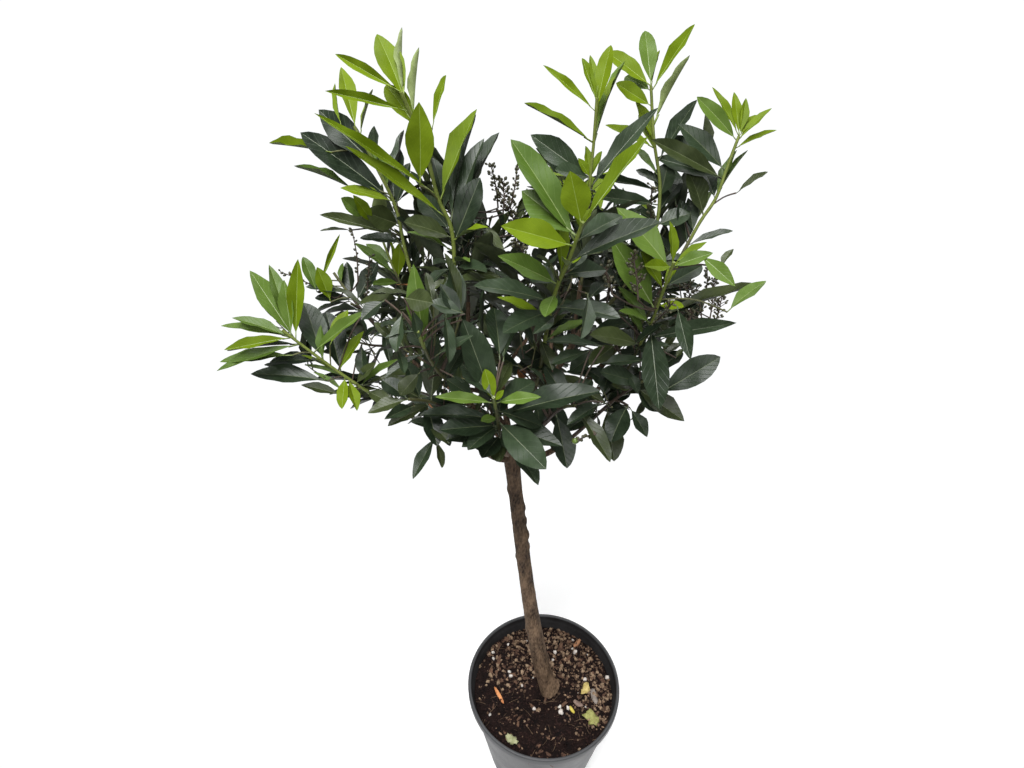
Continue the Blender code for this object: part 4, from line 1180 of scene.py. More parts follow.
# The leaves that the front shows one by one, by limb. Each has the pixel of its foot and of its tip, how
# much nearer to the front the tip is, its width, both in millimetres, how far its face is turned from
# the front in degrees, and its colour
FRONT_LEAVES = {
    "top_left": (
        ((401, 103), (377, 34), -10, 31, 12, "young"), ((401, 95), (402, 27), -15, 15, 118, "young"),
        ((412, 132), (386, 85), -5, 25, 10, "young"),
        ((417, 114), (419, 47), -10, 13, 116, "young"), ((393, 95), (335, 54), -10, 13, 12, "young"),
        ((398, 113), (325, 91), 0, 12, 20, "young"), ((420, 186), (419, 102), 40, 33, 5, "young"),
        ((432, 128), (446, 75), -20, 10, 25, "young"), ((440, 203), (477, 109), -20, 23, 50, "young"),
        ((448, 220), (345, 146), 25, 18, 20, "young"), ((437, 196), (314, 113), 10, 15, 15, "young"),
        ((450, 225), (476, 115), -20, 31, 52, "old"), ((452, 232), (484, 139), 0, 27, 40, "old"),
        ((455, 238), (499, 133), -25, 23, 60, "old"), ((455, 245), (480, 178), 20, 29, 20, "old"),
        ((446, 214), (433, 158), -20, 24, 55, "old"), ((452, 236), (404, 222), 30, 27, 40, "olive"),
        ((450, 235), (418, 195), -30, 26, 10, "old"),
    ),
    "upper_left": (
        ((388, 206), (301, 133), 20, 34, 10, "old"), ((372, 166), (319, 110), 0, 34, 15, "old"),
        ((354, 132), (341, 67), -10, 22, 20, "young"), ((341, 126), (335, 83), -20, 12, 40, "young"),
        ((360, 138), (373, 89), -10, 8, 60, "young"), ((332, 152), (269, 143), -40, 11, 55, "young"),
        ((356, 190), (294, 166), -30, 13, 60, "mid"), ((380, 170), (374, 126), -20, 21, 40, "old"),
        ((385, 190), (366, 140), 10, 17, 40, "mid"), ((395, 200), (404, 130), -20, 15, 60, "old"),
        ((390, 205), (340, 188), 20, 20, 40, "young"), ((364, 218), (341, 198), 32, 19, 25, "mid"),
        ((374, 224), (353, 195), 38, 18, 20, "young"), ((402, 235), (320, 215), 20, 15, 25, "olive"),
        ((384, 192), (378, 148), 5, 13, 40, "mid"),
        ((400, 225), (366, 212), 30, 29, 10, "olive"), ((352, 230), (320, 231), 0, 6, 40, "olive"),
        ((404, 242), (360, 238), -5, 18, 40, "old"),
        ((396, 205), (398, 148), -20, 25, 30, "old"), ((397, 207), (410, 163), 10, 21, 40, "old"),
    ),
    "upper_right": (
        ((592, 112), (543, 65), -5, 12, 20, "young"), ((590, 142), (524, 103), 0, 12, 48, "young"),
        ((594, 100), (582, 58), 0, 10, 30, "young"), ((595, 100), (590, 55), -5, 13, 20, "young"),
        ((597, 114), (611, 45), 10, 20, 15, "young"), ((597, 142), (616, 76), -10, 14, 50, "young"),
        ((600, 136), (625, 61), -25, 13, 35, "mid"), ((588, 188), (658, 108), 15, 20, 25, "old"),
        ((580, 178), (531, 135), -10, 27, 20, "old"), ((587, 180), (555, 170), 20, 22, 48, "old"),
        ((590, 180), (578, 158), 10, 13, 30, "young"), ((590, 180), (586, 146), 0, 13, 40, "young"),
        ((590, 178), (602, 151), 5, 13, 45, "young"),
    ),
    "top_right": (
        ((650, 82), (645, 31), -5, 21, 10, "mid"), ((650, 84), (607, 52), 0, 24, 35, "young"),
        ((651, 84), (660, 50), -10, 10, 50, "young"), ((652, 94), (695, 24), -15, 17, 25, "young"),
        ((657, 128), (690, 55), -20, 12, 112, "young"), ((651, 94), (625, 77), -20, 19, 20, "mid"),
        ((651, 106), (616, 83), 10, 21, 32, "young"), ((654, 148), (605, 125), 10, 21, 42, "young"),
        ((657, 175), (627, 144), -10, 15, 45, "mid"), ((663, 160), (697, 100), -20, 20, 28, "old"),
        ((656, 190), (592, 177), 5, 8, 35, "old"), ((660, 207), (592, 196), 5, 17, 30, "old"),
        ((658, 185), (636, 170), -10, 15, 48, "old"), ((659, 195), (668, 163), 10, 27, 20, "old"),
        ((661, 215), (680, 182), -10, 23, 38, "old"), ((662, 225), (641, 212), 10, 25, 38, "old"),
        ((662, 228), (690, 214), 10, 27, 30, "old"),
    ),
    "far_right": (
        ((738, 140), (697, 97), 15, 20, 15, "mid"), ((738, 130), (712, 87), 0, 13, 28, "young"),
        ((738, 128), (734, 92), 0, 14, 10, "young"), ((740, 134), (746, 98), 0, 14, 18, "young"),
        ((743, 146), (772, 108), 5, 15, 38, "young"), ((742, 154), (777, 130), -5, 13, 42, "young"),
        ((740, 134), (757, 115), -10, 11, 40, "young"), ((729, 170), (678, 124), 10, 28, 22, "old"),
        ((720, 194), (748, 150), 0, 15, 55, "mid"), ((718, 198), (737, 150), 5, 15, 45, "mid"),
        ((722, 176), (652, 140), 25, 22, 25, "olive"), ((699, 212), (688, 171), 20, 35, 42, "olive"),
        ((714, 178), (656, 158), -10, 26, 30, "old"),
        ((712, 196), (704, 168), -20, 20, 30, "old"), ((736, 193), (768, 172), 0, 9, 50, "olive"),
        ((690, 243), (733, 231), 10, 14, 40, "old"), ((690, 243), (680, 200), 10, 25, 38, "old"),
        ((676, 205), (668, 166), -15, 24, 20, "old"), ((686, 232), (688, 198), 0, 18, 30, "old"),
    ),
    "front_right": (
        ((581, 228), (570, 171), 25, 32, 5, "young"), ((576, 240), (511, 140), 10, 29, 28, "mid"),
        ((574, 246), (501, 226), 30, 33, 25, "young"), ((583, 228), (648, 137), 5, 14, 40, "young"),
        ((578, 238), (522, 191), -10, 36, 20, "mid"), ((560, 283), (498, 256), 40, 24, 38, "mid"),
        ((578, 242), (622, 216), -20, 22, 48, "old"), ((570, 262), (660, 222), 10, 24, 45, "old"),
        ((555, 292), (545, 317), 20, 19, 25, "mid"), ((552, 302), (474, 286), 30, 25, 38, "old"),
        ((549, 310), (503, 333), 30, 28, 32, "old"), ((550, 305), (620, 318), 30, 26, 38, "old"),
        ((582, 230), (577, 205), 0, 12, 30, "young"), ((583, 226), (592, 208), 0, 11, 40, "young"),
        ((560, 285), (528, 270), -20, 26, 38, "old"), ((565, 275), (606, 270), -25, 24, 45, "old"),
    ),
    "mid_right": (
        ((671, 270), (617, 208), 10, 34, 22, "mid"), ((657, 310), (611, 238), 20, 34, 12, "mid"),
        ((672, 268), (644, 266), 25, 17, 38, "young"), ((652, 322), (619, 311), 20, 15, 48, "mid"),
        ((650, 326), (618, 287), 0, 17, 42, "mid"), ((658, 306), (684, 307), 20, 15, 38, "young"),
        ((680, 270), (713, 253), 15, 17, 25, "mid"), ((700, 255), (735, 286), 18, 18, 15, "mid"),
        ((674, 266), (707, 242), 0, 11, 45, "young"), ((721, 268), (733, 249), -20, 12, 35, "olive"),
        ((727, 312), (766, 281), -10, 21, 32, "mid"), ((676, 358), (683, 349), 0, 8, 30, "olive"),
        ((650, 341), (736, 323), 10, 19, 20, "old"), ((656, 330), (659, 409), 30, 31, 3, "old"),
        ((672, 290), (702, 266), -15, 22, 30, "old"),
        ((664, 290), (640, 250), 15, 17, 38, "young"), ((664, 290), (678, 262), -10, 13, 40, "young"),
        ((640, 345), (590, 335), 30, 27, 30, "olive"), ((655, 322), (757, 285), -5, 15, 42, "olive"),
        ((652, 324), (700, 300), 0, 20, 50, "old"), ((588, 300), (606, 282), -30, 20, 30, "old"),
        ((590, 332), (632, 322), -30, 20, 35, "old"), ((582, 346), (620, 338), -30, 22, 30, "old"),
    ),
    "low_right": (
        ((658, 394), (720, 357), 15, 32, 10, "old"), ((637, 392), (684, 421), 10, 29, 32, "olive"),
        ((605, 404), (614, 461), 10, 29, 24, "olive"), ((628, 405), (611, 442), 25, 31, 10, "old"),
        ((630, 408), (647, 437), 10, 21, 32, "old"), ((640, 385), (600, 372), 20, 27, 30, "old"),
        ((600, 412), (562, 432), 15, 24, 35, "old"), ((650, 380), (682, 352), -25, 26, 35, "old"),
        ((616, 344), (589, 365), 25, 21, 20, "olive"), ((648, 360), (601, 364), 10, 15, 40, "old"),
        ((611, 366), (603, 393), 15, 20, 30, "old"), ((628, 370), (638, 394), 10, 17, 35, "old"),
        ((640, 396), (612, 385), 20, 16, 30, "olive"), ((604, 348), (570, 372), -10, 26, 30, "old"),
        ((618, 384), (585, 368), -10, 24, 35, "old"), ((640, 350), (616, 330), -15, 26, 25, "old"),
        ((630, 392), (650, 374), -20, 24, 30, "old"), ((598, 400), (630, 390), -20, 20, 30, "old"),
        ((600, 408), (626, 411), -20, 18, 40, "old"), ((612, 356), (650, 352), -20, 16, 40, "old"),
        ((562, 372), (593, 376), -30, 16, 40, "old"), ((638, 390), (664, 411), -10, 27, 20, "old"),
    ),
    "front_centre": (
        ((497, 402), (435, 397), 15, 13, 30, "mid"), ((496, 400), (485, 369), 5, 17, 10, "young"),
        ((498, 403), (541, 397), 10, 15, 25, "mid"), ((497, 400), (504, 390), 5, 8, 20, "young"),
        ((500, 418), (481, 421), 10, 13, 38, "mid"), ((500, 420), (546, 469), 40, 34, 5, "old"),
        ((502, 416), (600, 391), 30, 31, 38, "old"), ((500, 428), (538, 485), 30, 25, 38, "old"),
        ((497, 408), (463, 320), 25, 31, 18, "old"), ((499, 425), (440, 430), 25, 27, 38, "old"),
        ((500, 425), (468, 450), 25, 25, 35, "old"), ((505, 424), (562, 446), 20, 27, 40, "old"),
        ((495, 430), (522, 456), 25, 25, 20, "old"), ((500, 432), (455, 424), 0, 26, 45, "olive"),
        ((504, 430), (462, 447), 30, 28, 32, "old"), ((506, 434), (482, 458), 30, 26, 25, "old"),
        ((508, 434), (500, 462), 20, 24, 38, "olive"), ((498, 428), (446, 440), 10, 26, 40, "old"),
        ((505, 436), (530, 445), -15, 25, 40, "old"), ((495, 420), (420, 415), -10, 26, 45, "old"),
        ((500, 360), (494, 308), -35, 28, 20, "old"), ((503, 362), (514, 314), -35, 26, 30, "old"),
        ((505, 402), (534, 382), -30, 24, 30, "old"), ((503, 400), (511, 362), -30, 22, 30, "olive"),
        ((482, 398), (462, 364), -25, 24, 30, "old"), ((500, 410), (542, 426), -25, 26, 40, "old"),
        ((488, 422), (503, 392), -30, 24, 20, "old"),
    ),
    "front_low_right": (
        ((556, 412), (567, 468), 10, 27, 28, "old"), ((565, 407), (592, 380), -10, 25, 30, "old"),
        ((603, 402), (567, 425), 15, 13, 45, "old"), ((590, 351), (552, 364), 0, 19, 40, "old"),
        ((604, 346), (545, 342), 10, 17, 42, "old"), ((540, 338), (552, 370), 15, 17, 35, "olive"),
        ((570, 395), (545, 366), -10, 24, 35, "old"), ((584, 409), (610, 462), 15, 20, 35, "olive"),
        ((560, 374), (520, 348), -35, 32, 20, "old"), ((556, 352), (518, 368), -35, 28, 30, "old"),
        ((540, 405), (570, 430), -20, 26, 30, "old"), ((536, 402), (540, 430), -20, 26, 30, "old"),
        ((560, 395), (594, 411), -25, 24, 30, "old"), ((541, 373), (550, 382), -10, 9, 20, "faded"),
        ((516, 366), (524, 379), -10, 12, 20, "faded"),
    ),
    "front_left": (
        ((404, 298), (433, 303), 15, 22, 10, "olive"), ((444, 312), (449, 363), 10, 15, 35, "old"),
        ((428, 379), (438, 336), 15, 20, 25, "old"), ((421, 354), (385, 378), 10, 10, 55, "old"),
        ((402, 312), (396, 352), 5, 15, 40, "old"), ((398, 349), (404, 373), 5, 12, 35, "old"),
        ((412, 308), (418, 339), 0, 14, 40, "old"), ((465, 314), (429, 302), 5, 17, 40, "old"),
        ((462, 320), (440, 284), 5, 17, 35, "old"), ((385, 300), (361, 320), 5, 18, 35, "old"),
        ((412, 324), (385, 338), 5, 8, 55, "old"), ((436, 350), (412, 330), -20, 22, 30, "old"),
        ((455, 345), (462, 305), -20, 22, 30, "old"), ((440, 385), (462, 350), -15, 22, 30, "old"),
        ((420, 372), (400, 395), 0, 20, 35, "olive"), ((448, 372), (470, 395), -10, 22, 30, "old"),
    ),
    "front_low_left": (
        ((436, 436), (413, 479), 20, 18, 20, "old"), ((436, 440), (442, 468), 10, 12, 35, "olive"),
        ((424, 410), (437, 446), 15, 24, 15, "old"), ((434, 420), (450, 446), 10, 16, 30, "old"),
        ((449, 424), (482, 452), 10, 16, 30, "old"), ((433, 403), (388, 426), 20, 16, 40, "olive"),
        ((427, 416), (449, 444), 20, 18, 20, "olive"), ((425, 400), (380, 378), 10, 24, 35, "olive"),
        ((430, 402), (437, 350), -10, 29, 18, "olive"), ((420, 400), (405, 360), 10, 22, 40, "old"),
        ((472, 406), (411, 404), 15, 20, 40, "old"), ((478, 414), (432, 412), 20, 20, 38, "old"),
        ((402, 404), (382, 380), -5, 24, 30, "old"), ((402, 402), (368, 413), 5, 20, 35, "olive"),
        ((426, 413), (431, 425), 10, 11, 20, "faded"),
    ),
    "low_left": (
        ((292, 343), (250, 271), -5, 27, 15, "mid"), ((290, 341), (269, 265), 0, 22, 20, "mid"),
        ((292, 341), (284, 280), 5, 18, 20, "mid"), ((294, 343), (298, 259), 12, 24, 12, "young"),
        ((290, 342), (232, 318), 5, 18, 42, "mid"), ((287, 343), (221, 326), -5, 19, 35, "mid"),
        ((289, 343), (224, 350), 15, 17, 40, "young"), ((296, 353), (217, 371), 15, 19, 32, "mid"),
        ((293, 355), (220, 362), 5, 21, 30, "mid"), ((296, 352), (227, 351), -15, 14, 50, "old"),
        ((328, 381), (251, 374), 5, 30, 28, "old"), ((343, 395), (301, 385), 15, 14, 35, "olive"),
        ((318, 370), (270, 362), -5, 24, 40, "old"), ((334, 377), (301, 355), 12, 8, 45, "young"),
        ((340, 384), (304, 365), 8, 8, 40, "mid"), ((345, 392), (313, 372), 10, 9, 40, "mid"),
        ((311, 353), (367, 311), 10, 15, 42, "mid"), ((322, 362), (321, 325), 5, 14, 35, "mid"),
        ((335, 372), (364, 331), 5, 18, 40, "young"), ((325, 362), (304, 303), -15, 35, 12, "old"),
        ((340, 378), (326, 312), -20, 33, 25, "old"), ((343, 386), (357, 411), 20, 18, 30, "young"),
        ((340, 386), (342, 409), 22, 18, 20, "young"), ((330, 345), (348, 310), -10, 23, 25, "young"),
        ((352, 390), (376, 363), 20, 15, 35, "olive"),
        ((358, 386), (399, 359), 15, 10, 45, "mid"),
        ((356, 391), (437, 371), 20, 12, 50, "olive"), ((362, 397), (394, 404), 15, 22, 30, "olive"),
        ((362, 344), (363, 375), 0, 18, 25, "old"), ((366, 309), (333, 287), 0, 12, 45, "olive"),
    ),
    "mid_left": (
        ((320, 284), (340, 234), -10, 9, 10, "young"),
        ((331, 302), (317, 267), 15, 26, 15, "young"), ((334, 288), (343, 263), -10, 12, 50, "mid"),
        ((350, 300), (347, 262), -10, 22, 35, "old"), ((340, 300), (306, 287), 10, 20, 45, "old"),
        ((352, 305), (378, 262), -10, 24, 30, "old"), ((317, 292), (303, 257), 5, 18, 20, "mid"),
        ((346, 306), (315, 298), 0, 18, 30, "old"),
    ),
    "back_left": (
        ((394, 275), (354, 243), 20, 17, 30, "mid"), ((394, 272), (389, 237), 10, 11, 38, "young"),
        ((396, 278), (400, 242), 15, 24, 12, "young"), ((396, 283), (371, 284), 25, 14, 38, "mid"),
        ((392, 262), (366, 244), -10, 20, 40, "mid"),
    ),
}
# The crown's outline from the front, in pixels, which every other leaf keeps inside
CROWN_OUTLINE = (
    (210, 375), (216, 318), (244, 264), (300, 256), (330, 262), (345, 234), (325, 232), (322, 212), (342, 206),
    (338, 186), (350, 188), (325, 160), (306, 138), (306, 126), (322, 108), (332, 80), (340, 55), (372, 28),
    (402, 22), (424, 45), (447, 74), (445, 116), (478, 104), (500, 134), (488, 160), (474, 182), (478, 202),
    (502, 208), (520, 200), (524, 168), (506, 138), (530, 134), (545, 137), (560, 147), (576, 168), (586, 150),
    (516, 104), (538, 60), (578, 52), (611, 40), (645, 26), (700, 18), (694, 55), (672, 110), (697, 96), (712, 82),
    (748, 94), (780, 106), (782, 134), (742, 150), (724, 186), (704, 224), (708, 240), (728, 262), (770, 280),
    (740, 312), (742, 328), (694, 338), (700, 350), (700, 366), (672, 396), (664, 410), (642, 418), (630, 432),
    (600, 436), (585, 430), (570, 445), (540, 466), (520, 452), (484, 446), (452, 440), (430, 430), (384, 426),
    (350, 414), (296, 392), (248, 380),
)
# Gaps in the crown that stay open to the sky, in pixels: their middle and their radius
SKY_GAPS = (
    ((365, 88), 6), ((361, 110), 5), ((393, 122), 9), ((407, 85), 5), ((428, 82), 8), ((453, 117), 10), ((445, 147), 7),
    ((503, 150), 7), ((483, 178), 5), ((488, 205), 5), ((410, 200), 5), ((498, 235), 5), ((507, 253), 6),
    ((316, 250), 9), ((345, 252), 7), ((567, 102), 10), ((555, 128), 6), ((575, 142), 10), ((627, 110), 9),
    ((605, 138), 6), ((612, 167), 5), ((597, 187), 5), ((630, 183), 5), ((645, 187), 8), ((610, 211), 7),
    ((635, 207), 6), ((668, 118), 7), ((702, 120), 6), ((722, 143), 6), ((742, 177), 5), ((732, 212), 8),
    ((693, 213), 5), ((673, 242), 5), ((722, 250), 7), ((378, 345), 7), ((391, 349), 5), ((352, 367), 7),
    ((353, 343), 6), ((418, 433), 8), ((596, 415), 4), ((590, 374), 5), ((690, 350), 6), ((577, 427), 6),
    ((577, 450), 8), ((643, 411), 5),
)
FRONT_CURL = {"young": 0.06, "mid": 0.10, "old": 0.14, "olive": 0.14, "faded": 0.20}
# How much of its widest outline a blade fills, since most leaves are half folded
FRONT_SLIMNESS = {"young": 0.78, "mid": 0.86, "old": 0.90, "olive": 0.90, "faded": 0.90}
# How near a stem has to show to a leaf's foot, in pixels, for the leaf to sit on it without a stalk
FOOT_SLACK = 12
STALK_RADIUS = 0.0009
STALK_STEPS = 8
# How much nearer to the camera than a front leaf another one has to be to veil it, and how close in pixels
VEIL_NEARNESS = 0.01
SMALLER_BETWEEN = 0.6
VEIL_WIDTH = {"young": 9, "mid": 8, "old": 5, "olive": 5, "faded": 4}


def foot_on_stem(limb, pixel, toward, fresh):
    """The spot on a stem where a leaf sits that shows its foot at a pixel. Where the stem passes
    further away, a short stalk reaches out from it."""
    points = limb["stem_line"][0]
    nearest = min(range(len(points)), key=lambda index: (picture(points[index])[0] - Vector(pixel)).length)
    shown, depth = picture(points[nearest])
    if (shown - Vector(pixel)).length < FOOT_SLACK:
        return points[nearest]
    foot = spot_behind(pixel, depth - toward / 3)
    start = points[max(nearest - 3, 0)]
    limb["stalks"].append((fresh, [start, start.lerp(foot, 0.5) + UP * 0.1 * (foot - start).length, foot]))
    return foot


def front_leaf(limb, foot_pixel, tip_pixel, toward, width, turn, colour):
    """A leaf whose foot and tip show where the picture has them."""
    toward /= 1000
    foot = foot_on_stem(limb, foot_pixel, toward, colour in ("young", "mid"))
    tip = spot_behind(tip_pixel, picture(foot)[1] - toward)
    along = (tip - foot).normalized()
    facing = CAMERA_PLACE - foot
    facing = (facing - along * facing.dot(along)).normalized()
    turned = [Quaternion(along, side * math.radians(turn)) @ facing for side in (-1, 1)]
    normal = max(turned, key=lambda way: way.z)
    return {"root": foot, "along": along, "normal": normal, "side": along.cross(normal).normalized(),
            "length": (tip - foot).length, "curl": FRONT_CURL[colour], "rank": 1.0, "colour": colour,
            "width": width / 1000 * FRONT_SLIMNESS[colour],
            "picture": (picture(foot)[0], picture(tip)[0], picture(tip)[1], VEIL_WIDTH[colour])}


# The spikes of flower buds that the front shows, by limb: the pixels of foot and tip, how much nearer to
# the front than the limb they stand, and how far their buds spread, both in millimetres
FRONT_SPIKES = {
    "centre": (((498, 208), (491, 166), 0, 6), ((503, 214), (503, 182), 10, 9), ((510, 208), (517, 166), 0, 5),
               ((515, 234), (510, 206), 0, 8), ((529, 264), (516, 242), 10, 8), ((482, 258), (481, 232), 10, 3)),
    "mid_right": (((638, 300), (633, 256), 40, 8), ((612, 294), (605, 268), 10, 7)),
    "right_back": (((690, 322), (688, 284), 10, 9), ((710, 318), (713, 280), 10, 9), ((714, 326), (722, 294), 10, 9),
                   ((702, 322), (696, 288), 10, 7), ((690, 324), (684, 300), 10, 7),
                   ((706, 292), (707, 268), 0, 4)),
    "mid_left": (((334, 298), (281, 272), 0, 3), ((358, 282), (352, 230), 10, 3)),
    "front_right": (((500, 372), (498, 338), 30, 3),),
    "front_low_right": (((596, 434), (575, 441), 10, 3),),
}


def front_spike(limb, foot_pixel, tip_pixel, toward, spread):
    """A spike's line between two pixels, on a stalk from the nearest spot of the limb's stem."""
    root = min(limb["stem_line"][0], key=lambda point: (picture(point)[0] - Vector(foot_pixel)).length)
    foot = spot_behind(foot_pixel, picture(root)[1] - toward / 1000)
    tip = spot_behind(tip_pixel, picture(foot)[1])
    limb["stalks"].append((False, [root, root.lerp(foot, 0.5) - UP * 0.004, foot]))
    front_pictures.append((Vector(foot_pixel), Vector(tip_pixel), picture(tip)[1], spread))
    return [foot, foot.lerp(tip, 0.5) + (tip - foot).cross(UP) * 0.06, tip], spread / 1000


def inside_outline(pixel):
    """Whether a pixel is inside the crown's outline."""
    inside = False
    for (x, y), (next_x, next_y) in zip(CROWN_OUTLINE, (*CROWN_OUTLINE[1:], CROWN_OUTLINE[0])):
        if (y > pixel.y) != (next_y > pixel.y) and pixel.x < x + (pixel.y - y) / (next_y - y) * (next_x - x):
            inside = not inside
    return inside


def spoils_front(leaf):
    """Whether a leaf would show outside the crown's outline or in a gap, or veil one of the front leaves."""
    corners = leaf_corners(leaf)
    spots = [picture(corner) for corner in (corners[1].lerp(corners[2], 0.5), corners[3].lerp(corners[4], 0.5),
                                            corners[5])]
    if any(not inside_outline(pixel) for pixel, _ in spots):
        return True
    if any((pixel - Vector(middle)).length < radius for pixel, _ in spots for middle, radius in SKY_GAPS):
        return True
    for foot, tip, depth, width in front_pictures:
        way = tip - foot
        for pixel, near in spots:
            share = min(max((pixel - foot).dot(way) / way.length_squared, 0.1), 1)
            if near < depth + VEIL_NEARNESS and (pixel - foot - way * share).length < width:
                return True
    return False


front_pictures = []
for name, limb in limbs.items():
    limb["stalks"] = []
    limb["front_leaves"] = [front_leaf(limb, *row) for row in FRONT_LEAVES.get(name, ())]
    for leaf in limb["front_leaves"]:
        room.add(leaf_corners(leaf), LEAF_FACES)
        front_pictures.append(leaf["picture"])
    limb["front_spikes"] = [front_spike(limb, *row) for row in FRONT_SPIKES.get(name, ())]
for name, limb in limbs.items():
    # A stem whose own leaves the front shows has only small ones between them
    shown = name in STEM_COURSES or name in ("low_left", "front_centre")
    between = {**limb, "leaf": SMALLER_BETWEEN * limb["leaf"]} if shown else limb
    sprays = [(limb["stem"], grow_leaves(between, limb["stem"], crown_rng, room))]
    sprays += [(twig, grow_leaves(limb, twig, crown_rng, room)) for twig in limb["side_twigs"]]
    limb["sprays"] = [(twig, [leaf for leaf in leaves if not spoils_front(leaf)]) for twig, leaves in sprays]

# Finer shoots: how many try to leave each twig, and their length, leaf size and leaf number
FINE_SHOOTS = 26
FINE_LENGTH = (0.016, 0.046)
FINE_LEAF_SHARE = (0.36, 0.80)
FINE_RADII = (0.0008, 0.0014, 0.0012)
FINE_SEED = 4


def grow_fine_shoots(limb, rng):
    """Short side shoots with small leaves wherever the first growth left room, within the same reach."""
    bough = make_twig(*stretch(limb, 0.45 * BOUGH_SHARE, BOUGH_SHARE, BOUGH_POINTS), rng.uniform(0, math.tau))
    for twig in (bough, limb["stem"], *limb["side_twigs"]):
        for number in range(FINE_SHOOTS):
            share = 0.15 + 0.75 * (number + rng.random()) / FINE_SHOOTS
            root, shoot, away = on_twig(twig, share, rng.randrange(3))
            length = rng.uniform(*FINE_LENGTH)
            way = (shoot * 0.7 + away * rng.uniform(0.6, 1.0) + UP * 0.15).normalized()
            line = [root + (way * step + UP * 0.2 * step * step) * length for step in (0, 0.5, 1)]
            fine = make_twig(line, FINE_RADII, rng.uniform(0, math.tau))
            if not inside_outline(picture(line[-1])[0]) or not room.is_free(*twig_shape(fine, GUARD), own_twig=twig):
                continue
            room.add(*twig_shape(fine), fine)
            smaller = {**limb, "leaf": limb["leaf"] * rng.uniform(*FINE_LEAF_SHARE)}
            leaves = [leaf for leaf in grow_leaves(smaller, fine, rng, room) if not spoils_front(leaf)]
            if leaves:
                limb["fine_shoots"].append(fine)
                limb["sprays"].append((fine, leaves))


fine_rng = random.Random(FINE_SEED)
for limb in limbs.values():
    limb["fine_shoots"] = []
    grow_fine_shoots(limb, fine_rng)

# Which limbs have flushed this spring, and from which rank up their leaves and stems are young
FLUSH = {
    "top_left": 0.28, "upper_left": 0.40, "low_left": 0.38, "front_right": 0.30, "upper_right": 0.22,
    "top_right": 0.34, "far_right": 0.62, "front_centre": 0.86, "front_left": 0.86, "mid_right": 0.30,
    "back_left": 0.80, "back_centre": 0.70, "back_upper": 0.75, "back_right": 0.65,
}
young_wood = mottled("young_green_wood", (0.090, 0.120, 0.018), (0.170, 0.205, 0.040), 90, 600, (0.4, 0.55), 0.0002)
green_wood = mottled("green_brown_wood", (0.046, 0.050, 0.016), (0.100, 0.100, 0.034), 90, 600, (0.5, 0.7), 0.0003)
brown_wood = mottled("brown_twig_wood", (0.022, 0.014, 0.009), (0.062, 0.040, 0.025), 90, 600, (0.6, 0.8), 0.0003)
young_lines, green_lines, brown_lines = [], [], []
TWIG_SLIMNESS = 0.75
STEM_SLIMNESS = 0.72
BARE_SPLIT = 0.75
TWIG_STEPS = 14
SHORTEST_TWIG = 5
for name, limb in limbs.items():
    flush = FLUSH.get(name)
    line, widths = limb["stem_line"]
    bough_end = stretch(limb, BOUGH_SHARE - 0.02, BOUGH_SHARE, 2)
    line, widths = [bough_end[0][0], *line], [bough_end[1][0], *widths]
    split = 1 + int((STEM_STEPS - 2) * (flush or BARE_SPLIT))
    widths = [width * (STEM_SLIMNESS if flush else TWIG_SLIMNESS) for width in widths]
    (green_lines if flush else brown_lines).append((line[:split + 1], widths[:split + 1]))
    (young_lines if flush else green_lines).append((line[split:], widths[split:]))
    for twig, leaves in limb["sprays"][1:]:
        if not leaves:
            continue
        count = round(TWIG_STEPS * max(leaf["share"] for leaf in leaves)) + 1
        count = min(max(SHORTEST_TWIG, count), TWIG_STEPS)
        line, widths = smooth_line(twig["points"], twig["radii"], TWIG_STEPS)
        while count > SHORTEST_TWIG and not inside_outline(picture(line[count - 1])[0]):
            count -= 1
        widths = [TWIG_SLIMNESS * width * (1 - 0.6 * step / count) for step, width in enumerate(widths)][:count]
        middle = min(6, count - 2)
        brown_lines.append((line[:middle + 1], widths[:middle + 1]))
        green_lines.append((line[middle:count], widths[middle:]))
    for fresh, points in limb["stalks"]:
        (green_lines if fresh else brown_lines).append(smooth_line(points, [STALK_RADIUS] * 3, STALK_STEPS))
for name, lines, finish in (("young_stems", young_lines, young_wood), ("green_twigs", green_lines, green_wood),
                            ("brown_twigs", brown_lines, brown_wood)):
    wood = skinned(name, lines, 8, 0.004, 0.0003, 0.0004, finish)
    hand_in(wood, "bark")


# The leaves: leathery blades with a short stalk, a paler midrib in a shallow fold, a tip that curls down
# and a matte underside. A broad and a slim blade are drawn in several bends, and one of these shapes
# is placed on every leaf's spot.
LEAF_STALK = 0.09
# Outlines from foot to tip: a share of the blade's length, and of its full width
BROAD_OUTLINE = ((0.0, 0.0), (0.09, 0.27), (0.20, 0.56), (0.33, 0.82), (0.47, 0.97), (0.61, 1.0), (0.74, 0.88),
                 (0.85, 0.66), (0.94, 0.36), (1.0, 0.0))
SLIM_OUTLINE = ((0.0, 0.0), (0.10, 0.27), (0.22, 0.57), (0.35, 0.84), (0.48, 0.99), (0.60, 0.97), (0.73, 0.77),
                (0.84, 0.52), (0.93, 0.27), (1.0, 0.0))
RIB_WIDTH = 0.017
BENDS = (-0.02, 0.06, 0.12, 0.18, 0.26)
SWAYS = (-1, 0, 1)
SWAY_REACH = 0.13
BLADE_FOLD = 0.070
BLADE_THICKNESS = 0.012
BLADE_RIPPLE = 0.024
RIPPLE_PACE = 15
BLADE_ROLL = 0.05
RIB_TAPER = 0.7
UPPER, RIB, UNDER = 0, 1, 2


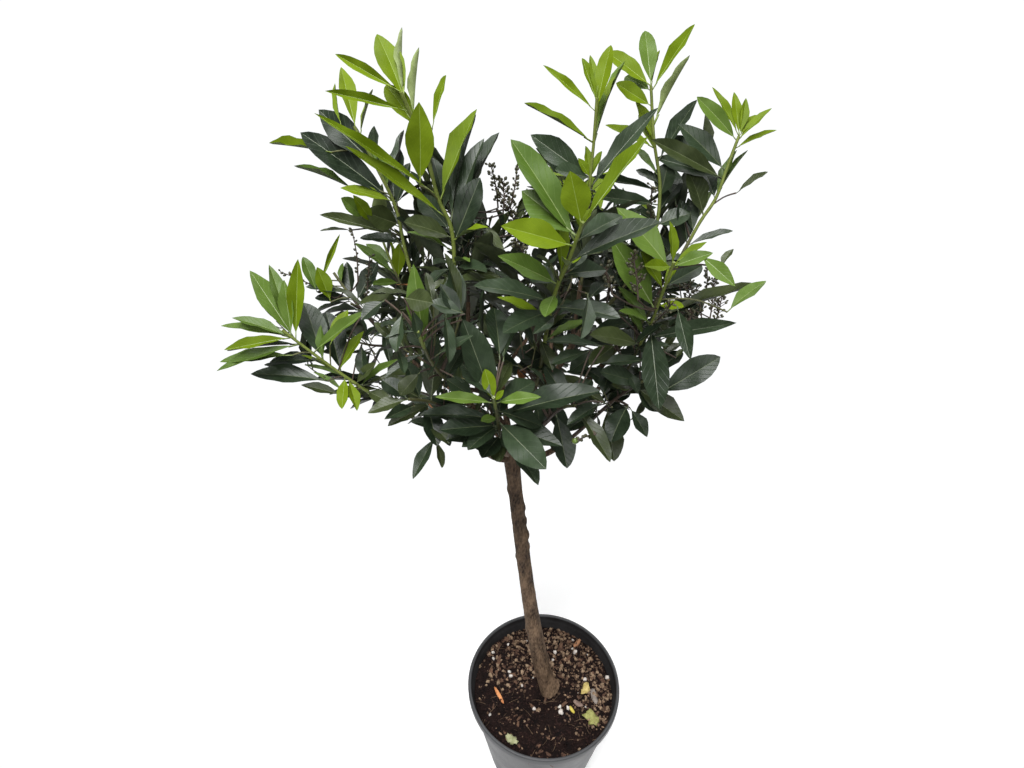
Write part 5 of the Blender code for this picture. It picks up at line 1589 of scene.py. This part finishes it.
def leaf_shape(name, outline, bend, sway, box):
    """One leaf of unit length and unit width: its closed blade, and its stalk as a thin prism."""
    def surface(share, across):
        """A point of the upper face, its share counted along the whole leaf."""
        fold = BLADE_FOLD * abs(2 * across)
        wave = math.sin(RIPPLE_PACE * share + 2 * sway + (1.3 if across > 0 else 0))
        ripple = BLADE_RIPPLE * wave * abs(2 * across) ** 2
        lean = sway * SWAY_REACH * share * share
        roll = BLADE_ROLL * sway * across
        return Vector((across + lean, share, fold + ripple + roll - bend * share * share))

    verts, faces, parts, rows = [], [], [], []
    for station, width in outline:
        share = LEAF_STALK + (1 - LEAF_STALK) * station
        if not width:
            rows.append([len(verts)] * 5)
            verts.append(surface(share, 0))
            continue
        rib = RIB_WIDTH * (1 - RIB_TAPER * station)
        first = len(verts)
        verts += [surface(share, across) for across in (-width / 2, -rib, rib, width / 2)]
        verts.append(surface(share, 0) - Vector((0, 0, BLADE_THICKNESS)))
        rows.append(list(range(first, first + 5)))
    for here, there in zip(rows, rows[1:]):
        for (a, b), part in (((0, 1), UPPER), ((1, 2), RIB), ((2, 3), UPPER), ((3, 4), UNDER), ((4, 0), UNDER)):
            # Both faces of the blade are split from the same corner of its margin, so neither cuts the other
            cut = ((here[a], here[b], there[b]), (here[a], there[b], there[a]))
            if b in (0, 3):
                cut = ((here[a], here[b], there[a]), (here[b], there[b], there[a]))
            for corners in cut:
                if len(set(corners)) == 3:
                    faces.append(corners)
                    parts.append(part)
    first = len(verts)
    for share, half in ((-0.01, 0.034), (LEAF_STALK + 0.05, 0.030)):
        middle = surface(share, 0)
        verts += [middle + Vector((-half, 0, 0)), middle + Vector((0, 0, -0.024)), middle + Vector((half, 0, 0)),
                  middle + Vector((0, 0, 0.002))]
    for side in range(4):
        after = (side + 1) % 4
        faces.append((first + side, first + after, first + 4 + after, first + 4 + side))
    faces += [(first + 3, first + 2, first + 1, first), tuple(range(first + 4, first + 8))]
    parts += [RIB] * 6
    shape = mesh_piece(name, verts, faces, box)
    mesh = shape.data
    part = mesh.attributes.new("part", "INT", "FACE")
    for index, value in enumerate(parts):
        part.data[index].value = value
    sharp = mesh.attributes.new("sharp_edge", "BOOLEAN", "EDGE")
    kinds = {}
    for polygon in mesh.polygons:
        for key in polygon.edge_keys:
            kinds.setdefault(key, set()).add(parts[polygon.index])
    for index, edge in enumerate(mesh.edges):
        sharp.data[index].value = len(kinds[tuple(sorted(edge.vertices))]) > 1
    across = mesh.uv_layers.new(name="blade")
    for loop in mesh.loops:
        place = mesh.vertices[loop.vertex_index].co
        across.data[loop.index].uv = (place.x - sway * SWAY_REACH * place.y ** 2 + 0.5, place.y)
    return shape


def leaf_shapes():
    """Every outline in every bend and sway, in the order in which leaf_spot counts them."""
    box = shape_box("leaf_shapes")
    kinds = product((BROAD_OUTLINE, SLIM_OUTLINE), BENDS, SWAYS)
    for number, (outline, bend, sway) in enumerate(kinds):
        leaf_shape(f"leaf_{number:02d}", outline, bend, sway, box)
    return box


def placing_tree(name, finishes):
    """Puts one of the shapes of a collection on every point, turned and sized by the point's own
    values, and gives each part of the shape its finish."""
    tree, given, output = new_tree(name, "GeometryNodeTree", (
        GEOMETRY, ("Shapes", "Collection"), *((label, "Material") for label in finishes)), (GEOMETRY,))

    def stored(label, kind):
        node = add_node(tree, "GeometryNodeInputNamedAttribute", {"Name": label}, data_type=kind)
        return node.outputs["Attribute"]

    place = add_node(tree, "GeometryNodeInstanceOnPoints", {
        "Points": given["Geometry"], "Instance": picked_shapes(tree, given), "Pick Instance": True,
        "Rotation": stored("turn", "QUATERNION"), "Scale": stored("size", "FLOAT_VECTOR"),
        "Instance Index": stored("shape", "INT")})
    last = add_node(tree, "GeometryNodeRealizeInstances", {0: place.outputs[0]}).outputs[0]
    for index, label in enumerate(finishes):
        inputs = {"Geometry": last, "Material": given[label]}
        if len(finishes) > 1:
            # A Compare node holds its whole numbers in its third and fourth inputs
            same = add_node(tree, "FunctionNodeCompare", {2: stored("part", "INT"), 3: index},
                            data_type="INT", operation="EQUAL")
            inputs["Selection"] = same.outputs[0]
        last = add_node(tree, "GeometryNodeSetMaterial", inputs).outputs[0]
    tree.links.new(last, output.inputs["Geometry"])
    return tree


def place_shapes(name, tree, spots, values, *nodes):
    """One piece of many shapes. A spot is its place, turn, size, shape and shade."""
    piece = mesh_piece(name, [spot[0] for spot in spots], [])
    for index, (label, kind, field) in enumerate((
            ("turn", "QUATERNION", "value"), ("size", "FLOAT_VECTOR", "vector"), ("shape", "INT", "value"),
            ("shade", "FLOAT", "value")), 1):
        attribute = piece.data.attributes.new(label, kind, "POINT")
        for item, spot in zip(attribute.data, spots):
            setattr(item, field, spot[index])
    add_tree(piece, tree, values)
    plain_mesh(piece)
    for label in ("turn", "size", "shape", "part"):
        if label in piece.data.attributes:
            piece.data.attributes.remove(piece.data.attributes[label])
    hand_in(piece, "leaf_green", *nodes)


VEIN_RANGE = (0.43, 0.50)
VEIN_COUNT = 9
VEIN_SLANT = 5


def blade_group():
    """The upper face of a leaf: side veins that slant from the midrib, spots between a dark and a light
    colour, and each leaf's own shade."""
    tree, given, output = new_tree("blade_face", "ShaderNodeTree", (
        ("Dark", "Color"), ("Light", "Color"), ("Vein", "Color"), ("Vein Strength", "Float")), PATTERN_OUTPUTS)
    place = add_node(tree, "ShaderNodeUVMap", uv_map="blade")
    split = add_node(tree, "ShaderNodeSeparateXYZ", {0: place.outputs[0]})
    solid = add_node(tree, "ShaderNodeTexCoord")
    spots = add_node(tree, "ShaderNodeTexNoise", {
        "Vector": solid.outputs["Object"], "Scale": 130, "Detail": 4}).outputs["Fac"]
    shade = add_node(tree, "ShaderNodeAttribute", attribute_name="shade").outputs["Fac"]
    across = maths(tree, "ABSOLUTE", maths(tree, "SUBTRACT", split.outputs["X"], 0.5))
    slant = maths(tree, "SUBTRACT", maths(tree, "MULTIPLY", split.outputs["Y"], VEIN_COUNT),
                  maths(tree, "MULTIPLY", across, VEIN_SLANT))
    wave = maths(tree, "ABSOLUTE", maths(tree, "SUBTRACT", maths(tree, "FRACT", slant), 0.5))
    vein = add_node(tree, "ShaderNodeMapRange", {
        "Value": wave, "From Min": VEIN_RANGE[0], "From Max": VEIN_RANGE[1]}).outputs["Result"]
    spread = maths(tree, "ADD", maths(tree, "MULTIPLY", spots, 0.7), maths(tree, "MULTIPLY", shade, 0.65))
    tone = add_node(tree, "ShaderNodeMix", {
        "Factor": maths(tree, "SUBTRACT", spread, 0.15), "A": given["Dark"], "B": given["Light"]}, data_type="RGBA")
    veined = add_node(tree, "ShaderNodeMix", {
        "Factor": maths(tree, "MULTIPLY", vein, given["Vein Strength"]), "A": tone.outputs["Result"],
        "B": given["Vein"]}, data_type="RGBA")
    puckers = maths(tree, "SUBTRACT", maths(tree, "MULTIPLY", spots, 0.5), vein)
    for source, label in ((veined.outputs["Result"], "Color"), (spots, "Mask"), (puckers, "Height")):
        tree.links.new(source, output.inputs[label])
    return tree


blade_face = blade_group()


VEIN_STRENGTH = 0.22
BLADE_RELIEF = 0.0004
BLADE_BUMP = 0.35
UNDERSIDE_SCALES = (120, 500)
UNDERSIDE_RELIEF = 0.0002


def blade_finish(name, dark, light, vein, roughness, specular=0.5):
    values = {"Dark": (*dark, 1), "Light": (*light, 1), "Vein": (*vein, 1), "Vein Strength": VEIN_STRENGTH}
    return patterned(name, blade_face, values, roughness, BLADE_RELIEF, BLADE_BUMP, specular)


def plain_finish(name, dark, light, roughness):
    return mottled(name, dark, light, *UNDERSIDE_SCALES, roughness, UNDERSIDE_RELIEF)


# Each colour of leaf. The upper face has its dark, light and vein colours, its range of roughness and its
# shine. The rib and the underside each have a dark and a light colour and a range of roughness
LEAF_COLOURS = {
    # The undersides of the old and olive leaves are kept dark: partly their own colour, partly painted shade for the
    # dark inside of the crown
    "old": (((0.003, 0.007, 0.003), (0.032, 0.051, 0.024), (0.05, 0.08, 0.04), (0.31, 0.46), 0.30),
            ((0.046, 0.062, 0.028), (0.095, 0.115, 0.055), (0.4, 0.5)),
            ((0.020, 0.029, 0.013), (0.042, 0.055, 0.027), (0.5, 0.65))),
    "olive": (((0.010, 0.016, 0.004), (0.050, 0.066, 0.020), (0.08, 0.11, 0.04), (0.32, 0.46), 0.30),
              ((0.055, 0.070, 0.028), (0.105, 0.125, 0.055), (0.4, 0.5)),
              ((0.028, 0.038, 0.013), (0.054, 0.069, 0.027), (0.5, 0.65))),
    # The undersides of the mid and young leaves are pale: partly their own colour, partly painted light that stands for
    # the light shining through them
    "mid": (((0.046, 0.088, 0.010), (0.094, 0.152, 0.024), (0.15, 0.22, 0.06), (0.36, 0.48), 0.22),
            ((0.130, 0.180, 0.050), (0.190, 0.240, 0.085), (0.4, 0.5)),
            ((0.110, 0.160, 0.045), (0.165, 0.225, 0.080), (0.5, 0.6))),
    "young": (((0.080, 0.126, 0.003), (0.128, 0.184, 0.006), (0.17, 0.23, 0.015), (0.46, 0.58), 0.12),
              ((0.130, 0.190, 0.018), (0.190, 0.250, 0.045), (0.4, 0.5)),
              ((0.160, 0.210, 0.060), (0.235, 0.295, 0.110), (0.5, 0.6))),
    "faded": (((0.130, 0.040, 0.014), (0.300, 0.120, 0.030), (0.36, 0.20, 0.07), (0.4, 0.55)),
              ((0.240, 0.120, 0.040), (0.360, 0.200, 0.070), (0.5, 0.6)),
              ((0.160, 0.070, 0.030), (0.260, 0.120, 0.045), (0.5, 0.6))),
}
BLADE_SLENDERNESS = (3.5, 4.7)
BLADE_LENGTHS = (0.86, 1.0)
LEAF_SEED = 8
# How far below the young leaves the mid ones start, and how often a leaf is of a rarer kind
MID_BELOW_FLUSH = 0.12
MID_ON_TWIGS = 0.3
FADED_SHARE = 0.006
OLIVE_SHARE = 0.4
SLIM_WHEN_YOUNG = 0.75
SLIM_WHEN_OLD = 0.25


def leaf_colour(limb, twig, rank, rng):
    """Young leaves stand on the flushed ends of the stems, and dark ones everywhere below."""
    flush = FLUSH.get(limb["name"])
    if flush and twig is limb["stem"] and rank >= flush:
        return "young"
    if flush and twig is limb["stem"] and rank >= flush - MID_BELOW_FLUSH:
        return "mid"
    if flush and twig in limb["side_twigs"] and rank > 0.8 and rng.random() < MID_ON_TWIGS:
        return "mid"
    if rank < 0.2 and rng.random() < FADED_SHARE:
        return "faded"
    return "olive" if rng.random() < OLIVE_SHARE else "old"


def leaf_spot(leaf, colour, rng):
    """Where and how a blade is placed. Its shape is the one with the nearest bend. The frame of a front
    leaf is tilted back by that bend, so that its tip ends where the picture shows it."""
    bend = min(range(len(BENDS)), key=lambda index: abs(BENDS[index] - leaf["curl"]))
    sway = rng.randrange(len(SWAYS))
    slim = rng.random() < (SLIM_WHEN_YOUNG if colour in ("young", "mid") else SLIM_WHEN_OLD)
    shape = (slim * len(BENDS) + bend) * len(SWAYS) + sway
    turn = Matrix((leaf["side"], leaf["along"], leaf["normal"])).transposed().to_quaternion()
    length = leaf["length"]
    if "width" in leaf:
        width = leaf["width"]
        tip = Vector((SWAYS[sway] * SWAY_REACH * width / length, 1, -BENDS[bend]))
        turn = turn @ tip.rotation_difference(Vector((0, 1, 0)))
    else:
        width = length / rng.uniform(*BLADE_SLENDERNESS)
        length *= rng.uniform(*BLADE_LENGTHS)
    return leaf["root"], turn, (width, length, length), shape, rng.random()


leaf_rng = random.Random(LEAF_SEED)
leaf_spots = {colour: [] for colour in LEAF_COLOURS}
for limb in limbs.values():
    for leaf in limb["front_leaves"]:
        leaf_spots[leaf["colour"]].append(leaf_spot(leaf, leaf["colour"], leaf_rng))
    for twig, leaves in limb["sprays"]:
        for leaf in leaves:
            colour = leaf_colour(limb, twig, leaf["rank"], leaf_rng)
            leaf_spots[colour].append(leaf_spot(leaf, colour, leaf_rng))

leaf_box = leaf_shapes()
spray = placing_tree("spray", ("Upper", "Rib", "Under"))
for colour, (upper, rib, under) in LEAF_COLOURS.items():
    # The old leaves, which are in every mass, stand for all the masses
    masses = ["foliage_" + name for name in limbs] if colour == "old" else []
    place_shapes(f"leaves_{colour}", spray, leaf_spots[colour], {
        "Shapes": leaf_box, "Upper": blade_finish(f"{colour}_leaf", *upper),
        "Rib": plain_finish(f"{colour}_leaf_rib", *rib),
        "Under": plain_finish(f"{colour}_leaf_underside", *under)}, *masses)
empty_box(leaf_box)


# The flower spikes: mostly upright spikes of small round buds on short stalks, dark green to brown
# before they open, here and there among the leaves. One of them ends in a green fruit.
BUD_SIZE = (0.0026, 0.0040)
SPIKE_SEED = 21
BUD_REACH = 0.0050
BUD_CROWD = 5200
FRUIT_SIZE = 0.0064
AXIS_RADIUS = 0.0011
AXIS_THINNING = 0.0006
BUD_STALK_RADII = (0.0005, 0.0004)


def bead_shape(name, box, steps, proportion):
    """A small closed bud, pointed at its tip."""
    def pointed(spot):
        spot = spot.copy()
        spot.z *= proportion
        spot.x *= 1 - 0.5 * max(spot.z, 0)
        spot.y *= 1 - 0.5 * max(spot.z, 0)
        return spot

    bead = primitive(name, bmesh.ops.create_uvsphere, box, pointed, u_segments=6, v_segments=steps, radius=0.5)
    bead.data.shade_smooth()


spike_rng = random.Random(SPIKE_SEED)
bead_box = shape_box("bead_shapes")
bead_shape("bead_0", bead_box, 4, 1.3)
bead_tree = placing_tree("beads", ("Finish",))
spike_axes, bead_spots = [], []
for limb in limbs.values():
    for points, spread in (*((spike["points"], BUD_REACH) for spike in limb["spike_lines"]), *limb["front_spikes"]):
        buds = round(BUD_CROWD * spread)
        line, _ = smooth_line(points, [1] * len(points), buds)
        spike_axes.append((line, [AXIS_RADIUS - AXIS_THINNING * step / buds for step in range(buds)]))
        frames = frames_along(line)
        for step in range(buds // 5, buds):
            ahead, side = frames[step]
            angle = spike_rng.uniform(0, math.tau)
            away = side * math.cos(angle) + ahead.cross(side) * math.sin(angle)
            reach = spread * spike_rng.uniform(0.5, 1.2)
            way = (away + ahead * 0.7).normalized()
            head = line[step] + way * reach
            spike_axes.append(([line[step], head], list(BUD_STALK_RADII)))
            size = spike_rng.uniform(*BUD_SIZE)
            bead_spots.append((head, way.to_track_quat("Z", "Y"), (size, size, size), 0, spike_rng.random()))
spike_wood = skinned("spike_stalks", spike_axes, 5, 0.003, 0, 0, brown_wood)
hand_in(spike_wood, "bark")
closed_bud = mottled("closed_bud", (0.022, 0.026, 0.012), (0.075, 0.070, 0.032), 200, 700, (0.45, 0.6), 0.0002)
place_shapes("spike_buds", bead_tree, bead_spots, {"Shapes": bead_box, "Finish": closed_bud})
bead_shape("fruit", bead_box, 8, 1.1)
fruit_place = limbs["front_low_right"]["front_spikes"][0][0][-1]
unripe = mottled("unripe_fruit", (0.050, 0.090, 0.014), (0.110, 0.160, 0.030), 200, 700, (0.3, 0.4), 0.0001)
place_shapes("green_fruit", bead_tree, [(fruit_place, Quaternion(), (FRUIT_SIZE,) * 3, 1, 0.5)],
             {"Shapes": bead_box, "Finish": unripe})
empty_box(bead_box)
